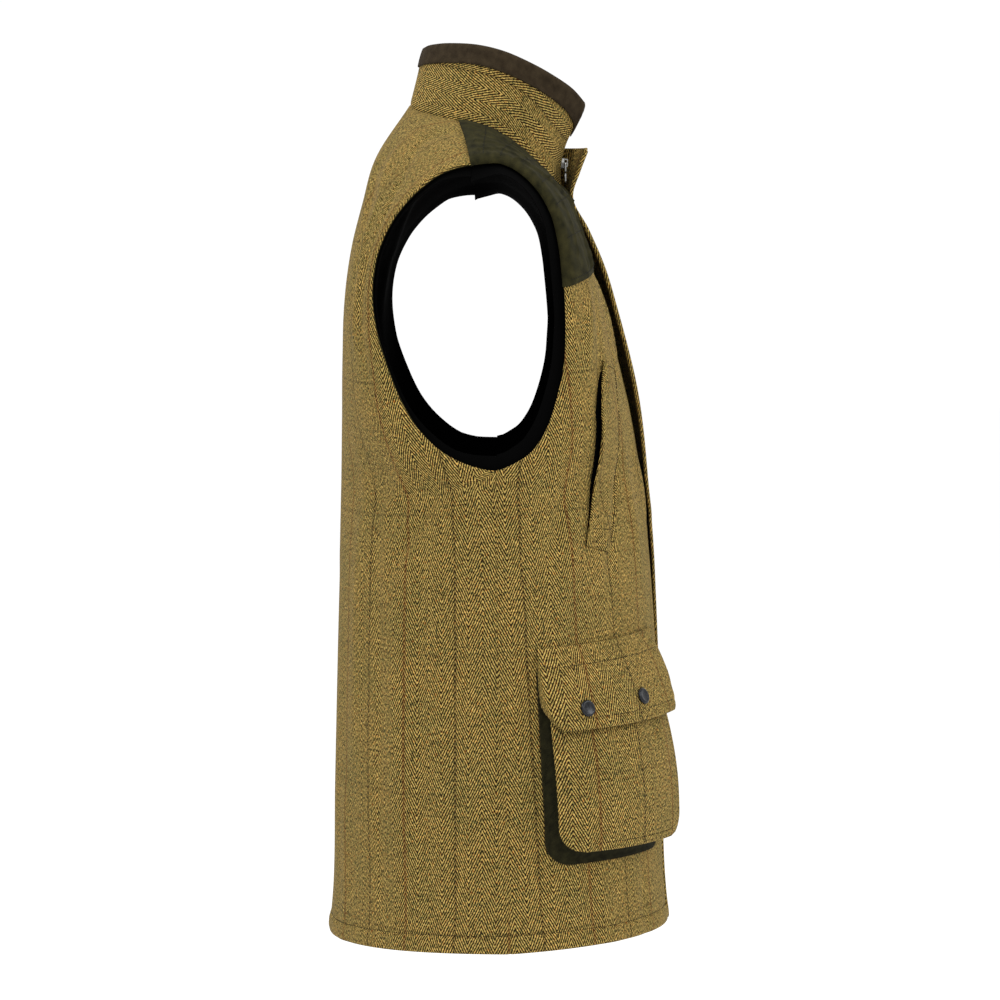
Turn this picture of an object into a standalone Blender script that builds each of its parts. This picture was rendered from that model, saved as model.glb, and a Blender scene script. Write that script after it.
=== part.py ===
import math

import bmesh
import bpy
import numpy as np

for old in list(bpy.data.objects):
    bpy.data.objects.remove(old, do_unlink=True)
vest = bpy.data.collections.new("shooting_vest")
cutters = bpy.data.collections.new("cutters")
bpy.context.scene.collection.children.link(vest)
bpy.context.scene.collection.children.link(cutters)

# Shooting vest filled out as worn. Metres, +Z up, front facing -Y, wearer's right at -X.
# The origin is the middle of the neck base, where the shoulders carry the vest.
mm = 0.001
clothThick = 2.2 * mm
liningThick = 0.8 * mm
seamGap = 0.3 * mm
onCloth = 0.5 * mm
collarThick = 3.0 * mm
trimThick = 1.0 * mm

# Rows of a front panel from hem to shoulder seam, right side, in mm: the inner edge runs up the
# centre front and then round the neck, the outer edge up the side seam and then round the armhole.
# innerX innerY innerZ  fromInnerX Y Z  fromOuterX Y Z  outerX outerY outerZ
frontRows = (
    (-6, -155, -733, -114, 0, 8, 0, -82, 6, -208.5, -8.6, -726),
    (-6, -152.6, -711, -113, 0, 7, 0, -81, 5, -206, -8, -704),
    (-6, -147.5, -600, -112, 0, 0, 0, -80, 0, -204, -4.5, -598),
    (-6, -142.5, -470, -110, 0, 0, 0, -80, 0, -203, 2.6, -470),
    (-6, -137, -392, -108, 0, 0, 0, -76, -6, -204, 3.4, -382),
    (-6, -134, -356, -106, 0, 0, 0, -65, -20, -205.5, 3.2, -342),
    (-6, -130.5, -325, -104, 0, 0, 0, -48, -34, -208, 2.6, -307.2),
    (-6, -127, -306, -102, 0, 0, 2, -42, -34, -207, -13.6, -300.4),
    (-6, -123.3, -284, -100, 0, 0, 5, -42, -28, -205, -27.5, -290),
    (-6, -119, -262, -97, 0, 0, 8, -42, -19, -201.5, -38.5, -273),
    (-6, -113, -236, -94, 1, 0, 12, -38, -10, -196, -46.8, -249),
    (-6, -105.5, -206, -91, 1, 0, 16, -33, -4, -190.5, -53.4, -217),
    (-6, -97.5, -176, -88, 1, 0, 20, -29, 0, -187.5, -54.6, -185),
    (-6, -87, -142, -85, 1, -1, 24, -24, 2, -187.5, -53.6, -150),
    (-6, -73, -108, -78, -2, -8, 30, -18, 5, -190.5, -50.5, -117),
    (-6, -56.6, -63, -64, -7, -16, 40, -12, 8, -196, -42.6, -88),
    (-30, -46.5, -56, -56, -7, -12, 45, -9, 9, -200, -32.3, -70.8),
    (-54, -31, -41.5, -50, -5, -10, 46, -6, 11, -202.5, -15, -54.8),
    (-70, -13, -25.5, -46, -2, -9, 45, -3, 14, -204.5, 0, -48.2),
    (-79, 10, -12, -43, -2, -9, 43, 1, 17, -205, 12.7, -48.2),
    (-77, 38.3, -3.8, -42.7, -4.3, -11, 42.7, 4.3, 19.5, -205, 25.5, -49.9),
)
# Rows of the right half of the back, the same columns: the inner edge is the centre back, then the neck.
backRows = (
    (0, 158, -743, -122, 0, 6, 0, 93, 0, -208.5, -8.6, -726),
    (0, 155.6, -721, -121, 0, 6, 0, 92, 0, -206, -8, -704),
    (0, 152.5, -605, -127, 0, 0, 0, 95, -3, -204, -4.5, -598),
    (0, 149.3, -472, -126, 0, 0, 0, 90, 0, -203, 2.6, -470),
    (0, 147.4, -392, -126, 0, 0, 0, 84, -6, -204, 3.4, -382),
    (0, 146.8, -356, -126, 0, 0, 0, 72, -20, -205.5, 3.2, -342),
    (0, 146.2, -325, -126, 0, 0, 0, 56, -32, -208, 2.6, -307.2),
    (0, 145.9, -306, -126, 0, 0, 0, 48, -30, -207.5, 24, -302),
    (0, 145.5, -285, -125, 0, 0, 1, 42, -27, -207, 46.9, -291.9),
    (0, 145, -262, -123, 0, 0, 3, 38, -22, -206, 66.5, -274.8),
    (0, 144.6, -238, -121, 0, 0, 6, 34, -15, -205, 80.5, -254),
    (0, 143.7, -208, -118, 0, 0, 12, 27, -8, -203.5, 93.5, -224),
    (0, 142.4, -176, -115, 0, 0, 22, 20, -2, -202, 104, -192),
    (0, 139.4, -143, -110, 0, 0, 32, 14, 2, -202, 108.4, -160),
    (0, 134, -110, -103, 0, 0, 38, 12, 6, -203, 104.5, -128),
    (0, 125, -74, -94, 1, -3, 42, 11, 11, -204, 93.5, -101.5),
    (0, 113.5, -34, -80, 5, -10, 44, 10, 15, -204.5, 81, -84),
    (0, 82.5, 14.5, -54, 10, -18, 44, 8, 19, -205, 64, -67.5),
    (-25, 79, 9.5, -50, 4, -14, 44, 6, 19, -205, 54, -60),
    (-52, 62.5, 3, -46, 0, -12, 43, 5, 19, -205, 40.7, -54.1),
    (-77, 38.3, -3.8, -42.7, -4.3, -11, 42.7, 4.3, 19.5, -205, 25.5, -49.9),
)
underarmRow = 6
neckRowFront = 15
neckRowBack = 17
# Grid lines of the panels: how many steps between one table row and the next.
panelSteps = (1, 2, 2, 1, 1) + (1,) * 15
panelColumns = 12
underarmLine = sum(panelSteps[:underarmRow])
neckLine = sum(panelSteps[:neckRowFront])
liningShow = 5 * mm
facingShow = 1.4 * mm
facingDeep = 6 * mm
liningEase = 1.3 * mm

# Collar stations from the right front end to the centre back, in mm.
# seamX seamY seamZ  topX topY topZ  bellyX bellyY (how far the middle is drawn towards the zip and back)
collarRows = (
    (-7, -56.8, -62.6, -31, -79, 11.5, 8, 9),
    (-30, -46.5, -56, -48, -66, 25, 4, 5),
    (-54, -31, -41.5, -62, -48.3, 36.2, 1, 2),
    (-70, -13, -25.5, -70, -29, 46.3, 0, 0),
    (-79, 10, -12, -71.5, -4.5, 57, 0, 0),
    (-77, 38.3, -3.8, -66, 20, 63.5, 0, 0),
    (-52, 62.5, 3, -47, 45, 66.5, 0, 0),
    (-25, 79, 9.5, -24, 62, 67, 0, 0),
    (0, 82.5, 14.5, 0, 69, 66.5, 0, 0),
)
collarSteps = 2
collarFoot = 0.012
collarHead = 0.985
bindingDepth = 18 * mm
bindingThick = 1.2 * mm
bindingGap = 0.4 * mm

# Storm flap: height, depth of what lies behind it, and how far the free edge stands off, in mm.
flapRows = (
    (-24, -60.5, 16.0),
    (-48, -58.0, 11.5),
    (-70, -61.8, 1.9),
    (-99, -71.4, 6.1),
    (-136, -84.8, 8.8),
    (-172, -96.4, 8.6),
    (-228, -111.2, 7.8),
    (-301, -126.6, 4.0),
    (-375, -135.9, 1.8),
    (-468, -142.4, 1.2),
    (-600, -147.5, 1.2),
    (-710, -152.4, 1.2),
    (-732, -154.8, 1.2),
)
flapAttached = 31 * mm
flapFree = -30 * mm
flapThick = 2.4 * mm

# Shoulder patch, in grid lines of the front panel: its lower edge, how much that rises towards the
# front, and its front edge as (line up, line across).
patchFoot = 14.9
patchSlope = 0.45
patchEdge = (
    (14.9, 5.2),
    (15.25, 4.3),
    (15.6, 3.3),
    (16.0, 2.3),
    (16.5, 1.2),
    (17.0, 0.45),
    (17.6, 0.2),
    (22.0, 0.2),
)
quiltRise = 0.6 * mm
patchLift = 0.95 * mm

# Hand-warmer welt: height of the row, and the distances from the centre front of its two edges, in mm.
weltRows = (
    (-209, 131, 99, 0.3),
    (-230, 143, 105, 2.0),
    (-250, 152, 111, 4.6),
    (-272, 158, 115, 5.6),
    (-298, 161, 117, 5.2),
    (-330, 164, 122, 3.8),
    (-356, 170, 132, 1.8),
    (-378, 175, 144, 0.3),
)
weltThick = 2.2 * mm

# Bellows pocket, in metres from the centre front and in height.
pocketRear = 229 * mm
pocketFront = 76 * mm
pocketTop = -0.484
pocketBottom = -0.643
pocketCorner = 22 * mm
pocketStand = (1.0 * mm, 15 * mm, 23 * mm)
gussetOut = 8 * mm
gussetDrop = 14 * mm
gussetFold = 6 * mm
gussetThick = 1.1 * mm
lidRear = 235 * mm
lidFront = 73 * mm
lidTop = (-0.4645, -0.4580)
lidBottom = (-0.5325, -0.5290)
lidCorner = 11 * mm
lidThick = 2.8 * mm
lidStand = (0.6 * mm, 18.5 * mm, 24 * mm)

studPlaces = ((204, -0.5150), (138, -0.5110))
studProfile = ((0, 2.6), (3.2, 2.4), (5.6, 1.7), (7.0, 0.9), (7.5, 0.35), (7.2, 0.0), (0, 0.0))
studSteps = 18

sliderTop = -33.6 * mm
sliderBack = -55.3 * mm
sliderThick = 3.8 * mm
pullHinge = (0.0, -60.1 * mm, -38.65 * mm)
pullSize = (6.4 * mm, 1.2 * mm, 19.6 * mm)

cloths = {
    "tweed": ("#8A7442", 0.9, 0.0),
    "moleskin": ("#343728", 0.85, 0.0),
    "suedeBrown": ("#3A3022", 0.85, 0.0),
    "lining": ("#0C0C0C", 0.6, 0.0),
    "tape": ("#2A2A22", 0.7, 0.0),
    "gunmetal": ("#4A4F52", 0.35, 1.0),
    "nickel": ("#B8B8B4", 0.3, 1.0),
}


def linear(code):
    """One sRGB hex colour as linear numbers."""
    parts = [int(code[i : i + 2], 16) / 255 for i in (1, 3, 5)]
    return [p / 12.92 if p <= 0.04045 else ((p + 0.055) / 1.055) ** 2.4 for p in parts]


def materialOf(name):
    made = bpy.data.materials.get(name)
    if made:
        return made
    made = bpy.data.materials.new(name)
    made.use_nodes = True
    shader = made.node_tree.nodes["Principled BSDF"]
    code, rough, metal = cloths[name]
    shader.inputs["Base Color"].default_value = (*linear(code), 1.0)
    shader.inputs["Roughness"].default_value = rough
    shader.inputs["Metallic"].default_value = metal
    return made


def unit(v):
    return v / np.linalg.norm(v, axis=-1, keepdims=True)


def through(keys, values, at):
    """A smooth curve through the values at the keys, read at the places asked for."""
    steps = np.diff(keys)
    rises = np.diff(values, axis=0) / steps[:, None]
    slopes = np.empty_like(values)
    slopes[0] = rises[0]
    slopes[-1] = rises[-1]
    before = steps[:-1, None]
    after = steps[1:, None]
    slopes[1:-1] = (rises[:-1] * after + rises[1:] * before) / (before + after)
    at = np.clip(at, keys[0], keys[-1])
    i = np.clip(np.searchsorted(keys, at, side="right") - 1, 0, len(steps) - 1)
    h = steps[i][:, None]
    u = ((at - keys[i]) / steps[i])[:, None]
    start = (1 + 2 * u) * (1 - u) ** 2 * values[i] + u * (1 - u) ** 2 * h * slopes[i]
    end = u * u * (3 - 2 * u) * values[i + 1] - u * u * (1 - u) * h * slopes[i + 1]
    return start + end


def throughWithCorner(keys, values, at, corner):
    """The same, with a corner allowed at one key."""
    low = through(keys[: corner + 1], values[: corner + 1], at)
    high = through(keys[corner:], values[corner:], at)
    return np.where((at <= keys[corner])[:, None], low, high)


class Panel:
    """A cut piece as rows of cubic curves from its inner edge to its outer edge."""

    def __init__(self, table, neckRow, sense):
        rows = np.array(table, float) * mm
        self.sense = sense
        self.inner = rows[:, 0:3]
        self.fromInner = rows[:, 3:6]
        self.fromOuter = rows[:, 6:9]
        self.outer = rows[:, 9:12]
        self.neckRow = neckRow
        outerStep = np.linalg.norm(np.diff(self.outer, axis=0), axis=1)
        innerStep = np.linalg.norm(np.diff(self.inner, axis=0), axis=1)
        step = np.where(np.arange(len(outerStep)) < underarmRow, outerStep, (innerStep + outerStep) / 2)
        self.keys = np.concatenate([[0.0], np.cumsum(step)])

    def at(self, s, t):
        """Points of the outer face at s across (0 inner edge, 1 outer edge) and t up, as two flat lists."""
        inner = throughWithCorner(self.keys, self.inner, t, self.neckRow)
        outer = throughWithCorner(self.keys, self.outer, t, underarmRow)
        first = inner + through(self.keys, self.fromInner, t)
        second = outer + through(self.keys, self.fromOuter, t)
        s = s[:, None]
        r = 1 - s
        return r**3 * inner + 3 * r * r * s * first + 3 * r * s * s * second + s**3 * outer

    def facing(self, s, t):
        """Outward directions at the same places."""
        small = 2e-3
        long = small * self.keys[-1]
        across = self.at(np.minimum(s + small, 1), t) - self.at(np.maximum(s - small, 0), t)
        up = self.at(s, np.minimum(t + long, self.keys[-1])) - self.at(s, np.maximum(t - long, 0))
        return unit(np.cross(up, across)) * self.sense

    def lines(self, steps):
        """Heights of the grid lines up the panel."""
        spans = zip(self.keys[:-1], self.keys[1:], steps)
        found = [np.linspace(a, b, n, endpoint=False) for a, b, n in spans]
        return np.concatenate(found + [[self.keys[-1]]])


front = Panel(frontRows, neckRowFront, 1.0)
back = Panel(backRows, neckRowBack, -1.0)


def panelGrid(panel, other, columns, steps):
    """Points and outward directions of a panel's grid. Along the seams the directions are shared
    with the neighbour, so that the two walls meet square, and the edges are drawn back from the seam."""
    lines = panel.lines(steps)
    s = np.linspace(0, 1, columns + 1)
    sAll, tAll = np.meshgrid(s, lines)
    points = panel.at(sAll.ravel(), tAll.ravel()).reshape(*sAll.shape, 3)
    facing = panel.facing(sAll.ravel(), tAll.ravel()).reshape(*sAll.shape, 3)
    facing[-1] = unit(facing[-1] + other.facing(s, np.full(len(s), other.keys[-1])))
    seam = lines <= panel.keys[underarmRow] + 1e-9
    ends = np.ones(seam.sum())
    facing[seam, -1] = unit(facing[seam, -1] + other.facing(ends, lines[seam]))
    draw = 0.75 * seamGap
    points[-1] += draw * unit(points[-2] - points[-1])
    points[seam, -1] += draw * unit(points[seam, -2] - points[seam, -1])
    return points, facing


def mirrored(array):
    return array * np.array([-1.0, 1.0, 1.0])


def solidOf(name, verts, faces, cloth):
    mesh = bpy.data.meshes.new(name)
    body = bmesh.new()
    made = [body.verts.new(v) for v in verts]
    for face in faces:
        body.faces.new([made[i] for i in face])
    bmesh.ops.recalc_face_normals(body, faces=body.faces)
    body.to_mesh(mesh)
    body.free()
    mesh.materials.append(materialOf(cloth))
    thing = bpy.data.objects.new(name, mesh)
    vest.objects.link(thing)
    return thing


def wall(name, sheets, cloth, thick, skipRows=0):
    """One closed wall from grids of points and outward directions. Grids that share an edge are joined.
    thick runs inwards, and may be one value a point."""
    points = []
    facings = []
    index = {}
    triangles = []
    for grid, facing in sheets:
        grid = grid[skipRows:]
        facing = facing[skipRows:]
        rows, columns = grid.shape[:2]
        ids = np.empty((rows, columns), int)
        for i in range(rows):
            for j in range(columns):
                key = tuple(np.round(grid[i, j] / (0.01 * mm)).astype(int))
                if key not in index:
                    index[key] = len(points)
                    points.append(grid[i, j])
                    facings.append(np.zeros(3))
                ids[i, j] = index[key]
                facings[ids[i, j]] = facings[ids[i, j]] + facing[i, j]
        for i in range(rows - 1):
            for j in range(columns - 1):
                a, b, c, d = ids[i, j], ids[i, j + 1], ids[i + 1, j + 1], ids[i + 1, j]
                triangles += [(a, b, c), (a, c, d)]
    points = np.array(points)
    facings = unit(np.array(facings))
    inside = points - facings * thick
    count = len(points)
    faces = triangles + [tuple(i + count for i in reversed(q)) for q in triangles]
    edges = {}
    for q in triangles:
        for a, b in zip(q, q[1:] + q[:1]):
            key = (min(a, b), max(a, b))
            edges[key] = edges.get(key, 0) + 1
    faces += [(b, a, a + count, b + count) for (a, b), uses in edges.items() if uses == 1]
    return solidOf(name, np.concatenate([points, inside]), faces, cloth)


def loopSolid(name, loops, cloth, closed=False, crossed=None):
    """A closed skin through loops of points, capped at both ends or joined round. Where crossed says so
    for a loop and a side, that face is split along its other diagonal."""
    loops = np.array(loops)
    count, size = loops.shape[:2]
    faces = []
    for i in range(count if closed else count - 1):
        k = (i + 1) % count
        for j in range(size):
            n = (j + 1) % size
            a, b, c, d = i * size + j, i * size + n, k * size + n, k * size + j
            faces += [(a, b, d), (b, c, d)] if crossed and crossed(i, j) else [(a, b, c), (a, c, d)]
    if not closed:
        faces.append(tuple(range(size)))
        faces.append(tuple(range((count - 1) * size, count * size)))
    return solidOf(name, loops.reshape(-1, 3), faces, cloth)


def frontSpot(distance, height):
    """Places on the right front panel by distance from the centre front and by height there,
    with the outward directions. Both inputs are flat lists of the same length."""
    fine = np.linspace(0, 1, 61)
    tFine = np.linspace(0, front.keys[neckRowFront], 300)
    zFine = throughWithCorner(front.keys, front.inner, tFine, neckRowFront)[:, 2]
    t = np.interp(height, zFine, tFine)
    points = []
    facings = []
    for one, where in zip(t, distance):
        row = front.at(fine, np.full(61, one))
        run = np.concatenate([[0.0], np.cumsum(np.linalg.norm(np.diff(row, axis=0), axis=1))])
        s = np.array([np.interp(where, run, fine)])
        points.append(front.at(s, np.array([one]))[0])
        facings.append(front.facing(s, np.array([one]))[0])
    return np.array(points), np.array(facings)


def onFacets(sheet, row, column):
    """The place and the outward direction on a panel's own facets, at fractions of its grid."""
    found = []
    i = min(int(row), len(sheet[0]) - 2)
    j = min(int(column), sheet[0].shape[1] - 2)
    up = row - i
    side = column - j
    for values in sheet:
        a, b, c, d = values[i, j], values[i, j + 1], values[i + 1, j + 1], values[i + 1, j]
        if side >= up:
            found.append(a + side * (b - a) + up * (c - b))
        else:
            found.append(a + up * (d - a) + side * (c - d))
    return found[0], unit(found[1])


def spotGrid(distances, heights):
    shape = distances.shape
    points, facings = frontSpot(distances.ravel(), heights.ravel())
    return points.reshape(*shape, 3), facings.reshape(*shape, 3)


def sideNames(name):
    """The two sides of a paired piece, with the turn that makes each."""
    return ((name + "_right", lambda a: a), (name + "_left", mirrored))


def makePanels():
    frontPoints, frontFacing = panelGrid(front, back, panelColumns, panelSteps)
    backPoints, backFacing = panelGrid(back, front, panelColumns, panelSteps)
    backFacing[: neckRowBack + 3, 0, 0] = 0.0
    backSheets = [(backPoints, backFacing), (mirrored(backPoints), mirrored(backFacing))]
    wall("back", backSheets, "tweed", clothThick)
    for name, turn in sideNames("front"):
        wall(name, [(turn(frontPoints), turn(frontFacing))], "tweed", clothThick)
    return (frontPoints, frontFacing), (backPoints, backFacing)


def armholeRing(frontSheet, backSheet):
    """The armhole's edge from the underarm up the front, over the shoulder and down the back: for each
    place the edge point, its outward direction, the same two a little inside the cloth, and the way
    into the hole. Also the ways into the hole for the front's and the back's own rows."""
    frontPoints, frontFacing = frontSheet
    backPoints, backFacing = backSheet
    first = underarmLine
    edge = np.concatenate([frontPoints[first:, -1], backPoints[-2:first:-1, -1]])
    facing = np.concatenate([frontFacing[first:, -1], backFacing[-2:first:-1, -1]])
    inner = np.concatenate([frontPoints[first:, -2], backPoints[-2:first:-1, -2]])
    innerFacing = np.concatenate([frontFacing[first:, -2], backFacing[-2:first:-1, -2]])
    inner[0] = frontPoints[first - 1, -1]
    innerFacing[0] = frontFacing[first - 1, -1]
    along = unit(np.roll(edge, -1, axis=0) - np.roll(edge, 1, axis=0))
    away = edge - inner
    hole = unit(away - along * np.sum(away * along, axis=1)[:, None])
    rows = len(frontPoints) - first
    frontHole = hole[:rows]
    backHole = np.concatenate([hole[:1], hole[:rows - 2:-1]])
    return edge, facing, inner, innerFacing, hole, frontHole, backHole


def makeLinings(frontSheet, backSheet, ring):
    """The dark inside. It is drawn in at the armholes, where a facing lies under it, and stands a
    little past the tweed's edge there."""
    for name, sheet, hole in (("lining_front", frontSheet, ring[5]), ("lining_back", backSheet, ring[6])):
        points, facing = sheet
        rows, columns = points.shape[:2]
        sink = np.full((rows, columns), clothThick + seamGap)
        extra = trimThick + liningEase
        sink[underarmLine:, -2:] += extra
        sink[underarmLine:, -3] += 0.5 * extra
        sink[underarmLine - 1, -2:] += 0.6 * extra
        shifted = points - facing * sink[:, :, None]
        shifted[underarmLine:, -1] += hole * liningShow
        if name == "lining_back":
            both = [(shifted, facing), (mirrored(shifted), mirrored(facing))]
            wall(name, both, "lining", liningThick, skipRows=1)
            continue
        shifted[:, 0] += (shifted[:, 1] - shifted[:, 0]) * 0.9
        for side, turn in sideNames(name):
            wall(side, [(turn(shifted), turn(facing))], "lining", liningThick, skipRows=1)


def collarCurve(u, v):
    """Outer face of the collar at u round (0 right front end, 1 centre back) and v up."""
    table = np.array(collarRows, float) * mm
    keys = np.linspace(0, 1, len(table))
    row = through(keys, table, u)
    v = v[:, None]
    straight = row[:, 0:3] * (1 - v) + row[:, 3:6] * v
    straight[:, 0:2] += 4 * v * (1 - v) * row[:, 6:8]
    return straight


def collarSheet(uAll, vAll):
    """Points and outward directions round the whole collar, right front end to left front end."""
    flatU = uAll.ravel()
    flatV = vAll.ravel()
    small = 4e-3
    points = collarCurve(flatU, flatV)
    ahead = collarCurve(np.minimum(flatU + small, 1), flatV)
    behind = collarCurve(np.maximum(flatU - small, 0), flatV)
    above = collarCurve(flatU, np.minimum(flatV + small, 1))
    below = collarCurve(flatU, np.maximum(flatV - small, 0))
    facing = unit(np.cross(above - below, ahead - behind))
    points = points.reshape(*uAll.shape, 3)
    facing = facing.reshape(*uAll.shape, 3)
    facing[:, -1, 0] = 0.0
    facing = unit(facing)
    points = np.concatenate([points, mirrored(points)[:, -2::-1]], axis=1)
    facing = np.concatenate([facing, mirrored(facing)[:, -2::-1]], axis=1)
    return points, facing


def makeCollar():
    around = np.linspace(0, 1, (len(collarRows) - 1) * collarSteps + 1)
    foot = np.zeros(len(around))
    height = np.linalg.norm(collarCurve(around, foot + 1) - collarCurve(around, foot), axis=1)
    bindingFoot = 1 - bindingDepth / height
    levels = [foot + collarFoot, 0.36 * bindingFoot, 0.7 * bindingFoot, bindingFoot, foot + collarHead]
    levels = np.array(levels)
    uAll = np.tile(around, (len(levels), 1))
    points, facing = collarSheet(uAll, levels)
    wall("collar", [(points, facing)], "tweed", collarThick)
    foot, head = points[-2], points[-1]
    footOut, headOut = facing[-2], facing[-1]
    rise = unit(head - foot)
    near = bindingGap
    far = bindingGap + bindingThick
    deep = collarThick
    # the binding's section: at the foot or the head, metres out from the collar's outer face, metres up
    section = (
        ("foot", near, 0.8 * mm),
        ("foot", far - 0.3 * mm, 0.8 * mm),
        ("head", far, -1.0 * mm),
        ("head", -0.4 * mm, 1.9 * mm),
        ("head", 0.4 * mm - deep, 1.9 * mm),
        ("head", -deep - far, -1.0 * mm),
        ("foot", 0.3 * mm - deep - far, 0.8 * mm),
        ("foot", -deep - near, 0.8 * mm),
        ("head", -deep - near, 0.4 * mm),
        ("head", near, 0.4 * mm),
    )
    loops = []
    for i in range(len(head)):
        seats = {"foot": (foot[i], footOut[i]), "head": (head[i], headOut[i])}
        loops.append([seats[where][0] + seats[where][1] * a + rise[i] * b for where, a, b in section])
    for end, inner in ((0, 1), (-1, -2)):
        beyond = unit(head[end] - head[inner]) * 0.8 * mm
        loops[end] = [q + beyond for q in loops[end]]
    loopSolid("collar_binding", loops, "suedeBrown", crossed=lambda i, j: j in (0, 2, 4, 9))


def makeStormFlap():
    table = np.array(flapRows, float) * mm
    top, chest = np.linspace(-24, -136, 9), np.linspace(-172, -301, 5)
    heights = np.concatenate([top, chest, (-375, -468, -600, -710, -732)]) * mm
    row = through(-table[:, 0], table[:, 1:3], -heights)
    across = np.linspace(0, 1, 6)
    x = flapAttached + (flapFree - flapAttached) * across
    stand = 1 - (1 - across) ** 2.2
    points = np.empty((len(heights), len(across), 3))
    for i, height in enumerate(heights):
        points[i, :, 0] = x
        points[i, :, 1] = row[i, 0] - onCloth - flapThick - row[i, 1] * stand
        points[i, :, 2] = height
    points[0, -1] += (4.0 * mm, 0, -4.0 * mm)
    points[0, -2] += (1.5 * mm, 0, 0)
    along = np.gradient(points, axis=1)
    up = -np.gradient(points, axis=0)
    facing = unit(np.cross(along, up))
    facing *= -np.sign(facing[:, :, 1:2])
    wall("storm_flap", [(points, facing)], "tweed", flapThick)


def makePatches(sheet):
    """Shoulder patches laid on the front panels' own facets, quilted in ridges across."""
    last = len(sheet[0]) - 1
    lines = 19
    columns = 13
    grid = np.empty((lines, columns, 3))
    out = np.empty_like(grid)
    for i in range(lines):
        for j in range(columns):
            rise = i / (lines - 1)
            across = j / (columns - 1)
            middle = patchFoot + (last - patchFoot) * rise
            start = np.interp(middle, [r for r, c in patchEdge], [c for r, c in patchEdge])
            column = start + (panelColumns - 0.12 - start) * across
            low = patchFoot + patchSlope * (1 - column / panelColumns)
            row = low + (last - 0.05 - low) * rise
            grid[i, j], out[i, j] = onFacets(sheet, row, column)
    ridge = np.where(np.arange(lines) % 2, quiltRise, 0.0)[:, None] * np.ones(columns)
    ridge[:, 0] = 0.0
    ridge[:, -1] = 0.0
    thick = trimThick + ridge
    outer = grid + out * (patchLift + thick)[:, :, None]
    for name, turn in sideNames("shoulder_patch"):
        wall(name, [(turn(outer), turn(out))], "moleskin", thick.ravel()[:, None])


def makeWelts():
    table = np.array(weltRows, float) * mm
    heights = np.linspace(table[0, 0], table[-1, 0], 12)
    row = through(-table[:, 0], table[:, 1:4], -heights)
    across = np.linspace(0, 1, 5)
    distances = row[:, 0:1] + (row[:, 1:2] - row[:, 0:1]) * across
    grid, out = spotGrid(distances, np.repeat(heights[:, None], 5, axis=1))
    stand = onCloth + weltThick + row[:, 2:3] * (1 - across) ** 1.5
    grid = grid + out * stand[:, :, None]
    for name, turn in sideNames("hand_pocket_welt"):
        wall(name, [(turn(grid), turn(out))], "tweed", weltThick)


def pocketOutline(count, grow, drop):
    """The pocket's rear edge, bottom and front edge from the top down and round, as distance and height."""
    rear = pocketRear + grow
    ahead = pocketFront - grow
    bottom = pocketBottom - drop
    corner = pocketCorner
    turns = np.linspace(0, math.pi / 2, 6)
    quarter = [(corner * (1 - math.cos(a)), corner * (1 - math.sin(a))) for a in turns]
    turnRear = [(rear - a, bottom + b) for a, b in quarter]
    turnFront = [(ahead + a, bottom + b) for a, b in reversed(quarter)]
    corners = [(rear, pocketTop)] + turnRear + turnFront + [(ahead, pocketTop)]
    corners = np.array(corners)
    run = np.concatenate([[0.0], np.cumsum(np.linalg.norm(np.diff(corners, axis=0), axis=1))])
    at = np.linspace(0, run[-1], count)
    return np.interp(at, run, corners[:, 0]), np.interp(at, run, corners[:, 1])


def pocketStandAt(distances, heights):
    """How far the pocket's face stands off the vest, more towards the bottom and the front."""
    down = np.clip((pocketTop - heights) / (pocketTop - pocketBottom), 0, 1)
    ahead = np.clip((pocketRear - distances) / (pocketRear - pocketFront), 0, 1)
    full = pocketStand[1] + (pocketStand[2] - pocketStand[1]) * ahead
    return pocketStand[0] + (full - pocketStand[0]) * np.sin(np.minimum(down * 1.3, 1) * math.pi / 2)


def makePockets():
    down = np.concatenate([np.linspace(0, 0.82, 6), (0.9, 0.955, 1.0)])
    across = np.linspace(-1, 1, 9)
    height = pocketTop + (pocketBottom - pocketTop) * down
    above = np.minimum((height - pocketBottom) / pocketCorner, 1)
    cut = pocketCorner * (1 - np.sqrt(1 - (1 - above) ** 2))
    middle = (pocketRear + pocketFront) / 2
    half = (pocketRear - pocketFront) / 2 - cut
    distances = middle - across[None, :] * half[:, None]
    heights = np.repeat(height[:, None], len(across), axis=1)
    grid, out = spotGrid(distances, heights)
    puff = 2.5 * mm * (1 - across**2)[None, :] * np.sin(math.pi * np.clip(down, 0.02, 0.98))[:, None]
    face = grid + out * (pocketStandAt(distances, heights) + clothThick + puff)[:, :, None]
    for name, turn in sideNames("cargo_pocket_face"):
        wall(name, [(turn(face), turn(out))], "tweed", clothThick)

    count = 30
    attach = frontSpot(*pocketOutline(count, gussetOut, gussetDrop))
    fold = frontSpot(*pocketOutline(count, -gussetFold, -gussetFold))
    rim = pocketOutline(count, -1.4 * mm, -1.4 * mm)
    edge = frontSpot(*rim)
    stand = np.maximum(pocketStandAt(*rim) - seamGap - gussetThick, 2.2 * mm)
    thick = gussetThick
    loops = []
    for i in range(count):
        out = attach[1][i]
        side = unit(fold[0][i] - attach[0][i])
        foot = attach[0][i] + out * onCloth
        knee = foot + side * 4.0 * mm
        middle = fold[0][i] + fold[1][i] * (onCloth + 0.5 * stand[i])
        tip = edge[0][i] + edge[1][i] * stand[i]
        loops.append(
            (
                foot,
                knee,
                middle + side * 0.6 * thick,
                tip + side * thick,
                tip + out * thick,
                middle - side * 0.9 * thick,
                knee + out * thick,
                foot + out * thick,
            )
        )
    loops = np.array(loops)
    for name, turn in sideNames("cargo_pocket_gusset"):
        loopSolid(name, turn(loops), "moleskin")


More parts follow.
